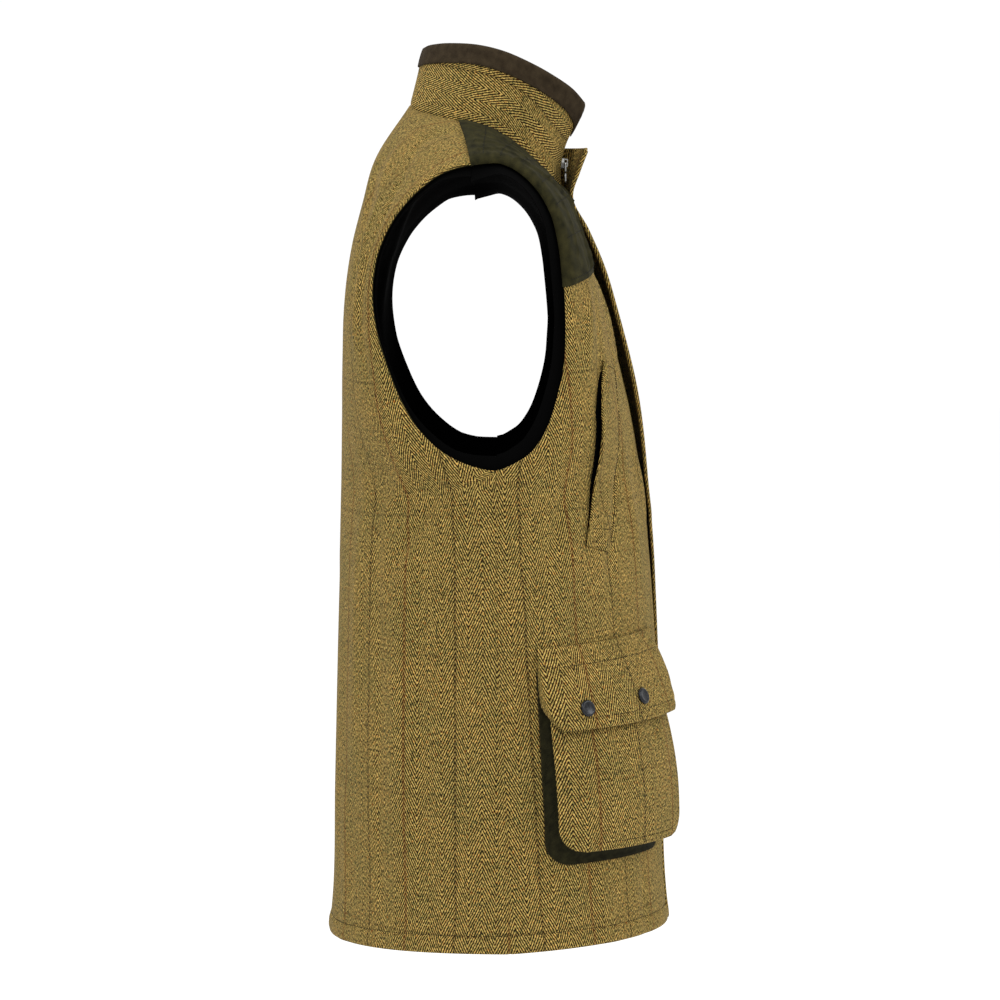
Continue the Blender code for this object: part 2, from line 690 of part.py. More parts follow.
def lidGrid(down, across):
    """Outer face of the pocket flap: down 0 to 1 from its top seam, across 0 to 1 from rear to front."""
    distance = lidRear + (lidFront - lidRear) * across
    distance = distance - (1 - 2 * across) * lidCorner * np.clip((down - 0.5) / 0.5, 0, 1) ** 2
    top = lidTop[0] + (lidTop[1] - lidTop[0]) * across
    low = lidBottom[0] + (lidBottom[1] - lidBottom[0]) * across
    height = top + (low - top) * down
    points, out = spotGrid(distance, height)
    full = lidStand[1] + (lidStand[2] - lidStand[1]) * across
    stand = lidStand[0] + (full - lidStand[0]) * np.clip((down - 0.10) / 0.90, 0, 1) ** 0.75
    stand = stand + 1.5 * mm * np.sin(math.pi * across) * down
    return points + out * (stand + lidThick)[:, :, None], out


def makeLids():
    down, across = np.meshgrid((0, 0.1, 0.24, 0.42, 0.62, 0.82, 1.0), np.linspace(0, 1, 10), indexing="ij")
    grid, out = lidGrid(down, across)
    for name, turn in sideNames("cargo_pocket_flap"):
        wall(name, [(turn(grid), turn(out))], "tweed", lidThick)


def makeStuds():
    profile = np.array(studProfile) * mm
    number = 0
    for sideName, turn in sideNames("press_stud"):
        for distance, height in studPlaces:
            number += 1
            a = (lidRear - distance * mm) / (lidRear - lidFront)
            top = lidTop[0] + (lidTop[1] - lidTop[0]) * a
            low = lidBottom[0] + (lidBottom[1] - lidBottom[0]) * a
            d = (height - top) / (low - top)
            downs, acrosses = np.meshgrid((d - 0.03, d + 0.03), (a - 0.03, a + 0.03), indexing="ij")
            near, facing = lidGrid(downs, acrosses)
            centre = near.mean(axis=(0, 1))
            edgeA = near[1].mean(axis=0) - near[0].mean(axis=0)
            edgeB = near[:, 1].mean(axis=0) - near[:, 0].mean(axis=0)
            axis = unit(np.cross(edgeA, edgeB))
            if axis @ facing[0, 0] < 0:
                axis = -axis
            sideways = unit(edgeB)
            third = np.cross(axis, sideways)
            seat = centre + axis * 0.55 * mm
            verts = []
            for r, h in profile[1:-1]:
                for k in range(studSteps):
                    turnBy = 2 * math.pi * k / studSteps
                    spoke = sideways * math.cos(turnBy) + third * math.sin(turnBy)
                    verts.append(seat + axis * h + spoke * r)
            rings = len(profile) - 2
            faces = []
            for i in range(rings - 1):
                for k in range(studSteps):
                    n = (k + 1) % studSteps
                    low = i * studSteps
                    high = low + studSteps
                    faces.append((low + k, low + n, high + n, high + k))
            verts.append(seat + axis * profile[0, 1])
            top = len(verts) - 1
            faces += [(top, k, (k + 1) % studSteps) for k in range(studSteps)]
            last = (rings - 1) * studSteps
            faces.append(tuple(last + k for k in range(studSteps)))
            solidOf("press_stud_" + str(number), turn(np.array(verts)), faces, "gunmetal")


def makeFacings(ring):
    """A narrow facing turned inside each armhole, showing a little past the tweed's edge."""
    edge, facing, inner, innerFacing, hole = ring[:5]
    near = clothThick + seamGap + 0.1 * mm
    far = near + trimThick
    part = (facingDeep / np.linalg.norm(inner - edge, axis=1))[:, None]
    deep = edge + (inner - edge) * part
    deepFacing = unit(facing + (innerFacing - facing) * part)
    show = edge + hole * facingShow
    turnsAt = len(ring[5]) - 1
    outer = (show - facing * near, deep - deepFacing * near)
    inside = (deep - deepFacing * far, show - facing * far)
    loops = np.stack(outer + inside, axis=1)
    for name, turn in sideNames("armhole_facing"):
        split = lambda i, j: j == (0 if i < turnsAt else 2)
        loopSolid(name, turn(loops), "moleskin", closed=True, crossed=split)


def makeTapes(sheet):
    """Zip tapes inside the front edges, from the hem up the collar's ends."""
    thick = 0.8 * mm
    loops = []
    for row in [0.25] + list(range(1, neckLine)) + [neckLine - 0.3]:
        start, out = onFacets(sheet, row, 0.0)
        far, farOut = onFacets(sheet, row, 0.32)
        way = unit(far - start)
        sink = clothThick + seamGap + (1.3 * mm if row > neckLine - 1 else 0.0)
        first = start - way * 4.8 * mm - out * sink
        second = far - farOut * sink
        loops.append((first, second, second - farOut * thick, first - out * thick))
    for v in (0.06, 0.22, 0.34, 0.5, 0.7, 0.9):
        ends, out = collarSheet(np.array([[0.0, 0.06, 0.12]]), np.full((1, 3), v))
        start = ends[0, 0]
        way = unit(ends[0, 1] - start)
        inward = -out[0, 0]
        sink = collarThick + (3 * seamGap if v < 0.6 else bindingGap + bindingThick + seamGap)
        first = start - way * 4.0 * mm + inward * sink
        second = start + way * 6.0 * mm + inward * sink
        loops.append((first, second, second + inward * thick, first + inward * thick))
    loops = np.array(loops)
    for name, turn in sideNames("zip_tape"):
        loopSolid(name, turn(loops), "tape")


def slab(name, outline, across, cloth, home):
    """An extruded outline: outline points are (first, up), across is (axis, low, high)."""
    axis, low, high = across
    verts = []
    for level in (low, high):
        for a, b in outline:
            verts.append((level, a, b) if axis == "x" else (a, level, b))
    count = len(outline)
    faces = [tuple(range(count)), tuple(range(count, 2 * count))]
    faces += [(i, (i + 1) % count, count + (i + 1) % count, count + i) for i in range(count)]
    made = solidOf(name, verts, faces, cloth)
    if home is not vest:
        vest.objects.unlink(made)
        home.objects.link(made)
        made.hide_render = True
        made.display_type = "WIRE"
    return made


def combine(target, other, operation):
    step = target.modifiers.new(operation.lower(), "BOOLEAN")
    step.operation = operation
    step.solver = "EXACT"
    step.object = other


def bevelled(thing, width):
    step = thing.modifiers.new("edges", "BEVEL")
    step.width = width
    step.segments = 2
    step.limit_method = "ANGLE"
    step.angle_limit = math.radians(40)


def makeSlider():
    half = 4.3 * mm
    top = sliderTop
    rightSide = [(half * 0.8, top), (half, top - 4 * mm), (half * 0.72, top - 9.6 * mm)]
    body = rightSide + [(-a, b) for a, b in reversed(rightSide)]
    slider = slab("zip_slider", body, ("y", sliderBack - sliderThick, sliderBack), "nickel", vest)
    bevelled(slider, 0.5 * mm)
    inside = sliderBack - sliderThick + 0.4 * mm
    window = -61.4 * mm
    outer = -62.2 * mm
    arch = [
        (inside, top - 0.6 * mm),
        (outer + 0.5 * mm, top - 0.6 * mm),
        (outer, top - 1.2 * mm),
        (outer, top - 7.2 * mm),
        (outer + 0.5 * mm, top - 7.9 * mm),
        (inside, top - 7.9 * mm),
        (inside, top - 7.0 * mm),
        (window, top - 7.0 * mm),
        (window, top - 1.6 * mm),
        (inside, top - 1.6 * mm),
    ]
    bridge = slab("bridge_cutter", arch, ("x", -1.2 * mm, 1.2 * mm), "nickel", cutters)
    combine(slider, bridge, "UNION")

    width, thick, long = pullSize
    x = width / 2
    high = 0.65 * mm
    sideDown = [(x - 0.6 * mm, high), (x, high - 0.6 * mm), (x, -7 * mm), (0.72 * x, -9 * mm), (x, -12 * mm)]
    turns = np.linspace(0, math.pi, 9)
    roundEnd = [(x * math.cos(a), -long + x + high - x * math.sin(a)) for a in turns]
    tab = sideDown + roundEnd + [(-a, b) for a, b in reversed(sideDown)]
    pull = slab("zip_pull", tab, ("y", -thick / 2, thick / 2), "nickel", vest)
    hole = [(-1.8 * mm, -0.65 * mm), (1.8 * mm, -0.65 * mm), (1.8 * mm, -5.0 * mm), (-1.8 * mm, -5.0 * mm)]
    cutter = slab("pull_hole_cutter", hole, ("y", -thick, thick), "nickel", cutters)
    cutter.parent = pull
    combine(pull, cutter, "DIFFERENCE")
    pull.location = pullHinge


frontSheet, backSheet = makePanels()
ring = armholeRing(frontSheet, backSheet)
makeLinings(frontSheet, backSheet, ring)
makeFacings(ring)
makeCollar()
makeStormFlap()
makePatches(frontSheet)
makeWelts()
makePockets()
makeLids()
makeStuds()
makeTapes(frontSheet)
makeSlider()
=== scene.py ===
import math

import bpy
import numpy as np
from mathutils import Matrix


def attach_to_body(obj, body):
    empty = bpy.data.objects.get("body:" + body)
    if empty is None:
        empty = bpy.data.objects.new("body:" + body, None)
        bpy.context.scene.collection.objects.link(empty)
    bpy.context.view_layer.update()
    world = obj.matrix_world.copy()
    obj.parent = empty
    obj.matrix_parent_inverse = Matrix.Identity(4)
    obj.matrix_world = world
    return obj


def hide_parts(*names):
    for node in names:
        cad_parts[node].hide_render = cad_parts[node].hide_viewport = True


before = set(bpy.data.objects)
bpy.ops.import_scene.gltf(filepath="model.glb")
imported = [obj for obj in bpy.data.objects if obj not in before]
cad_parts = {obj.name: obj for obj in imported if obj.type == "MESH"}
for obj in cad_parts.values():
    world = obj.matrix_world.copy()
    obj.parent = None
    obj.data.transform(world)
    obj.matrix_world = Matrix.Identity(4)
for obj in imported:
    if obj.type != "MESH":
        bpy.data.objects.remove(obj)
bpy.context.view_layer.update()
mm = 0.001
print("stage: frame loaded")


def fromHex(code):
    parts = [int(code[i : i + 2], 16) / 255 for i in (1, 3, 5)]
    return tuple(p / 12.92 if p <= 0.04045 else ((p + 0.055) / 1.055) ** 2.4 for p in parts) + (1.0,)


# Links sockets and nodes, by their first output, to a node's inputs, and sets plain values there.
def feed(tree, node, inputs):
    for socket, value in inputs.items():
        if isinstance(value, bpy.types.Node):
            value = value.outputs[0]
        if isinstance(value, bpy.types.NodeSocket):
            tree.links.new(value, node.inputs[socket])
        else:
            node.inputs[socket].default_value = value


def addNode(tree, kind, inputs, **settings):
    node = tree.nodes.new("ShaderNode" + kind)
    for name, value in settings.items():
        setattr(node, name, value)
    feed(tree, node, inputs)
    return node


def mathNode(tree, operation, *values):
    return addNode(tree, "Math", dict(enumerate(values)), operation=operation)


def vectorNode(tree, operation, inputs):
    return addNode(tree, "VectorMath", inputs, operation=operation)


def noiseNode(tree, vector, scale, detail):
    return addNode(tree, "TexNoise", {"Vector": vector, "Scale": scale, "Detail": detail})


def rangeNode(tree, value, low, high, toLow=0.0, toHigh=1.0, shape="LINEAR"):
    inputs = {"Value": value, "From Min": low, "From Max": high, "To Min": toLow, "To Max": toHigh}
    return addNode(tree, "MapRange", inputs, interpolation_type=shape)


def mixColours(tree, share, first, second, how="MIX"):
    inputs = {0: share, 6: first, 7: second}
    return addNode(tree, "Mix", inputs, data_type="RGBA", blend_type=how).outputs[2]


# a bump of a strength and a depth in mm
def bumpNode(tree, strength, deep, height):
    return addNode(tree, "Bump", {"Strength": strength, "Distance": deep * mm, "Height": height})


# a colour ramp over a value, from places and codes
def rampNode(tree, value, stops):
    node = addNode(tree, "ValToRGB", {0: value})
    ramp = node.color_ramp
    while len(ramp.elements) < len(stops):
        ramp.elements.new(0.5)
    for element, (place, code) in zip(ramp.elements, stops):
        element.position = place
        element.color = fromHex(code)
    return node


# A new material, its nodes, its shader, and the place in mm: on the flat cut, or else on the object.
def startMaterial(name, isOnCut=True):
    made = bpy.data.materials.new(name)
    made.use_nodes = True
    tree = made.node_tree
    if isOnCut:
        place = addNode(tree, "UVMap", {}, uv_map="grain").outputs[0]
    else:
        place = addNode(tree, "TexCoord", {}).outputs["Object"]
    return made, tree, tree.nodes["Principled BSDF"], vectorNode(tree, "SCALE", {0: place, 3: 1000.0})


# Herringbone wool tweed, woven and milled: the eye sees zigzag lines of tan yarn over dark olive
# brown, flecked with rust and grey green, and a thin overcheck. Sizes in mm.
tweed = {
    "stripe": 12.2,  # width of one herringbone column
    "lineRise": 4.7,  # height from one twill line to the next, about twice the real one so that it shows
    "slope": 2.1,  # rise of a twill line for each mm across
    "yarn": 1.1,  # length of one visible yarn float
    "tanYarns": (
        (0.30, "#635D38"), (0.42, "#88763F"), (0.55, "#A79056"), (0.66, "#A38446"), (0.74, "#875422"),
    ),
    "darkYarns": ((0.34, "#110F07"), (0.50, "#211507"), (0.66, "#371C07")),
    # the overcheck: a rust and a brown line up the cloth, and a fainter one across it, each with its
    # repeat, its start, its half width, its colour and its strength
    "check": (
        ("X", 97.6, 0.0, 1.5, "#4D280D", 0.50),
        ("X", 97.6, 48.8, 1.4, "#211608", 0.45),
        ("Y", 121.0, 31.0, 1.1, "#211608", 0.22),
    ),
    "leans": ((0.35, "#EEF0E6"), (0.65, "#FFFAEE")),  # broad patches lean to grey green or to gold
    "wander": 1.8,  # how far the weave strays, as milled wool does
    "roughness": 0.92,
    "sheen": 0.03,
    "bump": 0.5,
}


def makeTweed():
    made, tree, shader, inMm = startMaterial("herringboneTweed")
    wander = noiseNode(tree, inMm, 0.045, 2.0).outputs["Color"]
    centred = vectorNode(tree, "SUBTRACT", {0: wander, 1: (0.5, 0.5, 0.5)})
    drift = vectorNode(tree, "SCALE", {0: centred, 3: tweed["wander"]})
    cloth = vectorNode(tree, "ADD", {0: inMm, 1: drift})
    axes = addNode(tree, "SeparateXYZ", {0: cloth}).outputs
    zigzag = mathNode(tree, "PINGPONG", axes["X"], tweed["stripe"])
    climb = mathNode(tree, "MULTIPLY_ADD", zigzag, tweed["slope"], axes["Y"])
    wave = mathNode(tree, "SINE", mathNode(tree, "MULTIPLY", climb, 2 * math.pi / tweed["lineRise"]))
    # each float of yarn has its own tone, and roughens the edge of its line
    stretch = vectorNode(tree, "MULTIPLY", {0: cloth, 1: (1.0, 0.62, 1.0)})
    yarns = noiseNode(tree, stretch, 1 / tweed["yarn"], 1.0)
    tones = noiseNode(tree, stretch, 0.55 / tweed["yarn"], 2.0)
    edge = mathNode(tree, "ADD", wave, mathNode(tree, "MULTIPLY_ADD", yarns, 2.6, -1.3))
    line = rangeNode(tree, edge, -0.36, 0.56, shape="SMOOTHSTEP")
    dark, tan = (rampNode(tree, tones, tweed[key]) for key in ("darkYarns", "tanYarns"))
    leans = rampNode(tree, noiseNode(tree, inMm, 0.022, 3.0), tweed["leans"])
    toned = mixColours(tree, 1.0, mixColours(tree, line, dark, tan), leans, "MULTIPLY")
    # single yarns catch more or less light
    glint = rangeNode(tree, yarns, 0.32, 0.68, 0.55, 1.5)
    colour = vectorNode(tree, "SCALE", {0: toned, 3: glint}).outputs[0]
    for axis, period, start, half, code, strength in tweed["check"]:
        moved = mathNode(tree, "SUBTRACT", axes[axis], start)
        near = mathNode(tree, "PINGPONG", moved, period / 2)
        mask = rangeNode(tree, near, 0.3 * half, 1.4 * half, strength, 0.0, "SMOOTHSTEP")
        colour = mixColours(tree, mask, colour, fromHex(code))
    relief = mathNode(tree, "MULTIPLY_ADD", yarns, 0.8, line)
    looks = {"Base Color": colour, "Normal": bumpNode(tree, tweed["bump"], 0.35, relief)}
    looks |= {"Roughness": tweed["roughness"], "Specular IOR Level": 0.06, "Sheen Weight": tweed["sheen"]}
    feed(tree, shader, looks | {"Sheen Roughness": 0.45, "Sheen Tint": fromHex("#E9DDBC")})
    return made


# Brushed cotton moleskin and the like: a dull short nap, mottled where it is stroked both ways.
napCloths = {
    "moleskinGreen": {"dark": "#131309", "light": "#2F2C17", "patch": 11.0, "nap": 0.7, "sheen": 0.03},
    # the green moleskin again, darker: painted shade for the pocket gusset's recess
    "moleskinGreenPaintedShade": {"dark": "#0E0D06", "light": "#252313", "patch": 8.0, "nap": 0.7, "sheen": 0.06},
    "brushedBrown": {"dark": "#201910", "light": "#362D20", "patch": 9.0, "nap": 0.6, "sheen": 0.05},
}


def makeNap(name):
    sizes = napCloths[name]
    made, tree, shader, inMm = startMaterial(name)
    mottle = noiseNode(tree, inMm, 1 / sizes["patch"], 4.0)
    nap = noiseNode(tree, inMm, 1 / sizes["nap"], 2.0)
    shade = rangeNode(tree, mathNode(tree, "MULTIPLY_ADD", nap, 0.6, mottle), 0.55, 1.05)
    colour = mixColours(tree, shade, fromHex(sizes["dark"]), fromHex(sizes["light"]))
    looks = {"Base Color": colour, "Normal": bumpNode(tree, 0.25, 0.15, nap), "Roughness": 0.9}
    looks |= {"Specular IOR Level": 0.06, "Sheen Weight": sizes["sheen"], "Sheen Roughness": 0.5}
    feed(tree, shader, looks | {"Sheen Tint": fromHex(sizes["light"])})
    return made


# Ribbed cloths. Black acetate lining in fine twill: nearly black, with no shine to speak of. Woven
# polyester zip tape, and the thread of the seams: dull, with fine ribs across.
# dark and light, pitch of the ribs in mm, how wavy, strength of the bump, roughness, gloss
ribbedCloths = {
    "acetateLining": ("#010101", "#030303", 0.8, 0.4, 0.15, 0.95, 0.03),
    "tapeCloth": ("#141410", "#23221B", 0.9, 0.6, 0.3, 0.75, 0.1),
    "oliveThread": ("#211A0B", "#392F17", 0.35, 0.6, 0.3, 0.75, 0.1),
    "greenThread": ("#0F0F09", "#1A1A12", 0.35, 0.6, 0.3, 0.75, 0.1),
}


def makeRibbed(name):
    dark, light, pitch, wavy, strength, roughness, gloss = ribbedCloths[name]
    isTwill = name == "acetateLining"
    made, tree, shader, inMm = startMaterial(name, isTwill)
    turned = addNode(tree, "Mapping", {"Vector": inMm, "Rotation": (0, 0, math.radians(45 * isTwill))})
    inputs = {"Vector": turned, "Scale": 1 / (2 * pitch), "Distortion": wavy}
    ribs = addNode(tree, "TexWave", inputs, bands_direction="X" if isTwill else "Z").outputs["Fac"]
    colour = mixColours(tree, ribs, fromHex(dark), fromHex(light))
    looks = {"Base Color": colour, "Normal": bumpNode(tree, strength, 0.1, ribs)}
    feed(tree, shader, looks | {"Roughness": roughness, "Specular IOR Level": gloss})
    return made


# Plated metals: a die-cast nickel slider, and gunmetal press studs with a soft oxide mottle.
metals = {
    "nickelPlate": {"low": "#5C5C58", "high": "#A6A6A2", "grain": 1.4, "roughness": (0.22, 0.36)},
    "gunmetalPlate": {"low": "#1B1C1E", "high": "#3A3B3D", "grain": 2.2, "roughness": (0.22, 0.40)},
}


def makeMetal(name):
    sizes = metals[name]
    made, tree, shader, inMm = startMaterial(name, False)
    mottle = noiseNode(tree, inMm, 1 / sizes["grain"], 5.0)
    colour = mixColours(tree, mottle, fromHex(sizes["low"]), fromHex(sizes["high"]))
    looks = {"Base Color": colour, "Normal": bumpNode(tree, 0.12, 0.05, mottle), "Metallic": 1.0}
    feed(tree, shader, looks | {"Roughness": rangeNode(tree, mottle, 0.3, 0.7, *sizes["roughness"])})
    return made


materials = {"tweed": makeTweed()}
for kinds, make in ((napCloths, makeNap), (ribbedCloths, makeRibbed), (metals, makeMetal)):
    for kind in kinds:
        materials[kind] = make(kind)
print("stage: materials made")

# The two cut panels as rows of cubic curves, in mm, from hem to shoulder seam, on the vest's right.
# innerX innerY innerZ  fromInnerX Y Z  fromOuterX Y Z  outerX outerY outerZ
frontPanel = {
    "rows": (
        (-6, -155, -733, -114, 0, 8, 0, -82, 6, -208.5, -8.6, -726),
        (-6, -152.6, -711, -113, 0, 7, 0, -81, 5, -206, -8, -704),
        (-6, -147.5, -600, -112, 0, 0, 0, -80, 0, -204, -4.5, -598),
        (-6, -142.5, -470, -110, 0, 0, 0, -80, 0, -203, 2.6, -470),
        (-6, -137, -392, -108, 0, 0, 0, -76, -6, -204, 3.4, -382),
        (-6, -134, -356, -106, 0, 0, 0, -65, -20, -205.5, 3.2, -342),
        (-6, -130.5, -325, -104, 0, 0, 0, -48, -34, -208, 2.6, -310.2),
        (-6, -127, -306, -102, 0, 0, 2, -42, -34, -207, -14.6, -303.4),
        (-6, -123.3, -284, -100, 0, 0, 5, -42, -28, -205, -28.9, -293.1),
        (-6, -119, -262, -97, 0, 0, 8, -42, -19, -201.4, -40.4, -275.8),
        (-6, -113, -236, -94, 1, 0, 12, -38, -10, -195.4, -49.2, -251.4),
        (-6, -105.5, -206, -91, 1, 0, 16, -33, -4, -189.1, -56.5, -218.5),
        (-6, -97.5, -176, -88, 1, 0, 20, -29, 0, -185.2, -58, -185.2),
        (-6, -87, -142, -85, 1, -1, 24, -24, 2, -184.3, -56.7, -148.7),
        (-6, -73, -108, -78, -2, -8, 30, -18, 5, -186, -53, -114.7),
        (-6, -56.6, -63, -64, -7, -16, 40, -12, 8, -190, -44.5, -85.2),
        (-30, -46.5, -56, -56, -7, -12, 45, -9, 9, -194, -33.8, -67.8),
        (-54, -31, -41.5, -50, -5, -10, 46, -6, 11, -196.5, -16, -51.5),
        (-70, -13, -25.5, -46, -2, -9, 45, -3, 14, -198.5, -0.6, -44.8),
        (-79, 10, -12, -43, -2, -9, 43, 1, 17, -199, 12.5, -44.8),
        (-77, 38.3, -3.8, -42.7, -4.3, -11, 42.7, 4.3, 19.5, -199, 25.6, -46.5),
    ),
    "neckRow": 15,
    "sense": 1.0,
    "columns": 84,
    # soft creases: start distance and height, end distance and height, half width, rise, all in mm
    "creases": (
        (61, -150, 43, -209, 5, 1.5),
        (84, -170, 70, -250, 8, -1.2),
        (55, -280, 28, -355, 7, 1.3),
        (106, -300, 133, -356, 6, -1.4),
        (133, -356, 150, -408, 7, -1.3),
        (92, -300, 84, -400, 12, 1.3),
        (244, -404, 247, -468, 6, 1.1),
        (176, -325, 205, -420, 9, 1.0),
        (196, -335, 228, -400, 7, -1.2),
        (215, -420, 214, -700, 14, 0.9),
        (60, -480, 52, -700, 15, 1.0),
        (180, -665, 172, -725, 11, 1.2),
        (110, -668, 116, -728, 9, -1.0),
        (140, -150, 172, -225, 8, 1.5),
        (118, -160, 160, -262, 7, -1.2),
    ),
}
backPanel = {
    "rows": (
        (0, 158, -743, -122, 0, 6, 0, 93, 0, -208.5, -8.6, -726),
        (0, 155.6, -721, -121, 0, 6, 0, 92, 0, -206, -8, -704),
        (0, 152.5, -605, -127, 0, 0, 0, 95, -3, -204, -4.5, -598),
        (0, 149.3, -472, -126, 0, 0, 0, 90, 0, -203, 2.6, -470),
        (0, 147.4, -392, -126, 0, 0, 0, 84, -6, -204, 3.4, -382),
        (0, 146.8, -356, -126, 0, 0, 0, 72, -20, -205.5, 3.2, -342),
        (0, 146.2, -325, -126, 0, 0, 0, 56, -32, -208, 2.6, -310.2),
        (0, 145.9, -306, -126, 0, 0, 0, 48, -30, -207.6, 24.1, -306.8),
        (0, 145.5, -285, -125, 0, 0, 1, 42, -27, -207, 47.6, -296),
        (0, 145, -262, -123, 0, 0, 3, 38, -22, -205.9, 68, -277.9),
        (0, 144.6, -238, -121, 0, 0, 6, 34, -15, -204.6, 82.6, -256.7),
        (0, 143.7, -208, -118, 0, 0, 12, 27, -8, -202.1, 96.4, -225.8),
        (0, 142.4, -176, -115, 0, 0, 22, 20, -2, -198.3, 107.4, -192.5),
        (0, 139.4, -143, -110, 0, 0, 32, 14, 2, -196, 111.7, -159.2),
        (0, 134, -110, -103, 0, 0, 38, 12, 6, -197, 107.4, -126.2),
        (0, 125, -74, -94, 1, -3, 42, 11, 11, -198, 95.8, -99),
        (0, 113.5, -34, -80, 5, -10, 44, 10, 15, -198.5, 82.8, -81.1),
        (0, 82.5, 14.5, -54, 10, -18, 44, 8, 19, -199, 65.2, -64.3),
        (-25, 79, 9.5, -50, 4, -14, 44, 6, 19, -199, 54.9, -56.7),
        (-52, 62.5, 3, -46, 0, -12, 43, 5, 19, -199, 41.2, -50.7),
        (-77, 38.3, -3.8, -42.7, -4.3, -11, 42.7, 4.3, 19.5, -199, 25.6, -46.5),
    ),
    "neckRow": 17,
    "sense": -1.0,
    "columns": 84,
    "creases": (
        (118, -16, 168, -62, 6, -1.6),
        (168, -62, 184, -112, 6, -1.7),
        (184, -112, 180, -172, 6, -1.5),
        (180, -172, 188, -240, 7, -1.0),
        (98, -30, 150, -78, 7, 1.8),
        (150, -78, 166, -132, 7, 1.8),
        (166, -132, 164, -205, 8, 1.4),
        (80, -48, 130, -98, 7, -1.5),
        (130, -98, 147, -165, 8, -1.2),
        (60, -30, 108, -92, 9, 1.3),
        (210, -296, 150, -364, 9, 1.6),
        (226, -322, 176, -404, 7, -1.5),
        (151, -339, 165, -512, 7, -1.2),
        (165, -512, 162, -691, 8, -1.0),
        (211, -353, 215, -684, 8, -1.2),
        (186, -400, 190, -690, 12, 1.2),
        (128, -300, 118, -560, 14, 1.5),
        (270, -386, 272, -698, 7, 1.2),
        (246, -420, 246, -720, 8, -0.9),
        (70, -480, 62, -720, 17, 1.1),
        (26, -420, 30, -700, 13, -1.0),
        (96, -600, 92, -738, 11, 1.1),
    ),
}
underarmRow = 6
creaseScale = 2.1  # the tables' rises, brought up until they show in the studio's light
clothThick = 2.2 * mm
hemBand = 14.5 * mm  # height of the topstitched hem
creaseEnd = 16 * mm  # the creases die out this near the armhole's edge
ridgeIn = 8 * mm  # a low ridge lies this far in from the armhole's edge
# rise and half width of what the edges add to the smooth form, in mm
edgeRelief = {
    "armholeRoll": (-0.5, 2.4),
    "armholeRidge": (0.5, 5.0),
    "sideSeam": (-0.9, 2.6),
    "shoulderSeam": (-0.9, 2.6),
    "hemGroove": (-1.0, 1.7),
    "hemRoll": (-1.0, 2.0),
}


def unit(v):
    return v / np.linalg.norm(v, axis=-1, keepdims=True)


# 1 at zero, falling away over a width
def bell(x, wide):
    return np.exp(-((x / wide) ** 2))


# how near places are to a straight crease of some half width (1 on it), and how far along it
def crease(spot, start, end, wide):
    way = end - start
    along = np.clip(((spot - start) @ way) / (way @ way), 0, 1)
    return bell(np.linalg.norm(spot - start - along[..., None] * way, axis=-1), wide), along


# length run along a path, or along one way of a grid, from its start
def runOf(points, axis=0):
    start = np.take(points, [0], axis=axis)
    return np.cumsum(np.linalg.norm(np.diff(points, axis=axis, prepend=start), axis=-1), axis=axis)


# the points of a path at some lengths along it
def pointsAt(at, run, path):
    return np.stack([np.interp(at, run, path[:, k]) for k in range(3)], axis=1)


# the corners of each square in a grid of numbers
def quadsOf(ids):
    return np.stack([ids[:-1, :-1], ids[:-1, 1:], ids[1:, 1:], ids[1:, :-1]], axis=-1).reshape(-1, 4)


# a grid of places on the flat cut, from what runs across and what runs up
def placeGrid(across, up):
    return np.stack(np.broadcast_arrays(across, up), axis=-1)


# a smooth curve through the values at the keys
def through(keys, values, at, firstWay=None):
    steps = np.diff(keys)
    rises = np.diff(values, axis=0) / steps[:, None]
    slopes = np.empty_like(values)
    slopes[0] = rises[0] if firstWay is None else firstWay * np.linalg.norm(rises[0])
    slopes[-1] = rises[-1]
    before = steps[:-1, None]
    after = steps[1:, None]
    slopes[1:-1] = (rises[:-1] * after + rises[1:] * before) / (before + after)
    at = np.clip(at, keys[0], keys[-1])
    i = np.clip(np.searchsorted(keys, at, side="right") - 1, 0, len(steps) - 1)
    h = steps[i][:, None]
    u = ((at - keys[i]) / steps[i])[:, None]
    start = (1 + 2 * u) * (1 - u) ** 2 * values[i] + u * (1 - u) ** 2 * h * slopes[i]
    end = u * u * (3 - 2 * u) * values[i + 1] - u * u * (1 - u) * h * slopes[i + 1]
    return start + end


# the same, with a corner allowed at one key
def throughWithCorner(keys, values, at, corner, firstWay=None):
    low = through(keys[: corner + 1], values[: corner + 1], at)
    high = through(keys[corner:], values[corner:], at, firstWay)
    return np.where((at <= keys[corner])[:, None], low, high)


for panel in (frontPanel, backPanel):
    rows = np.array(panel["rows"], float) * mm
    panel["inner"], panel["fromInner"] = rows[:, 0:3], rows[:, 3:6]
    panel["fromOuter"], panel["outer"] = rows[:, 6:9], rows[:, 9:12]
    outerStep = np.linalg.norm(np.diff(panel["outer"], axis=0), axis=1)
    innerStep = np.linalg.norm(np.diff(panel["inner"], axis=0), axis=1)
    step = np.where(np.arange(len(outerStep)) < underarmRow, outerStep, (innerStep + outerStep) / 2)
    panel["keys"] = np.concatenate([[0.0], np.cumsum(step)])
    # the armhole's foot runs level from one panel into the other
    panel["footWay"] = unit(np.array([0.0, -1.0, 0.12]) * panel["sense"])
    # the outer edge again with its corner at the underarm eased, for the cloth away from it
    fine = np.linspace(0, panel["keys"][-1], 500)
    edge = throughWithCorner(panel["keys"], panel["outer"], fine, underarmRow, panel["footWay"])
    weights = bell(fine[:, None] - fine[None, :], 24 * mm)
    eased = weights @ edge / weights.sum(axis=1, keepdims=True)
    near = np.exp(-(((fine - panel["keys"][underarmRow]) / (70 * mm)) ** 4))[:, None]
    panel["eased"] = (fine, edge * (1 - near) + eased * near)


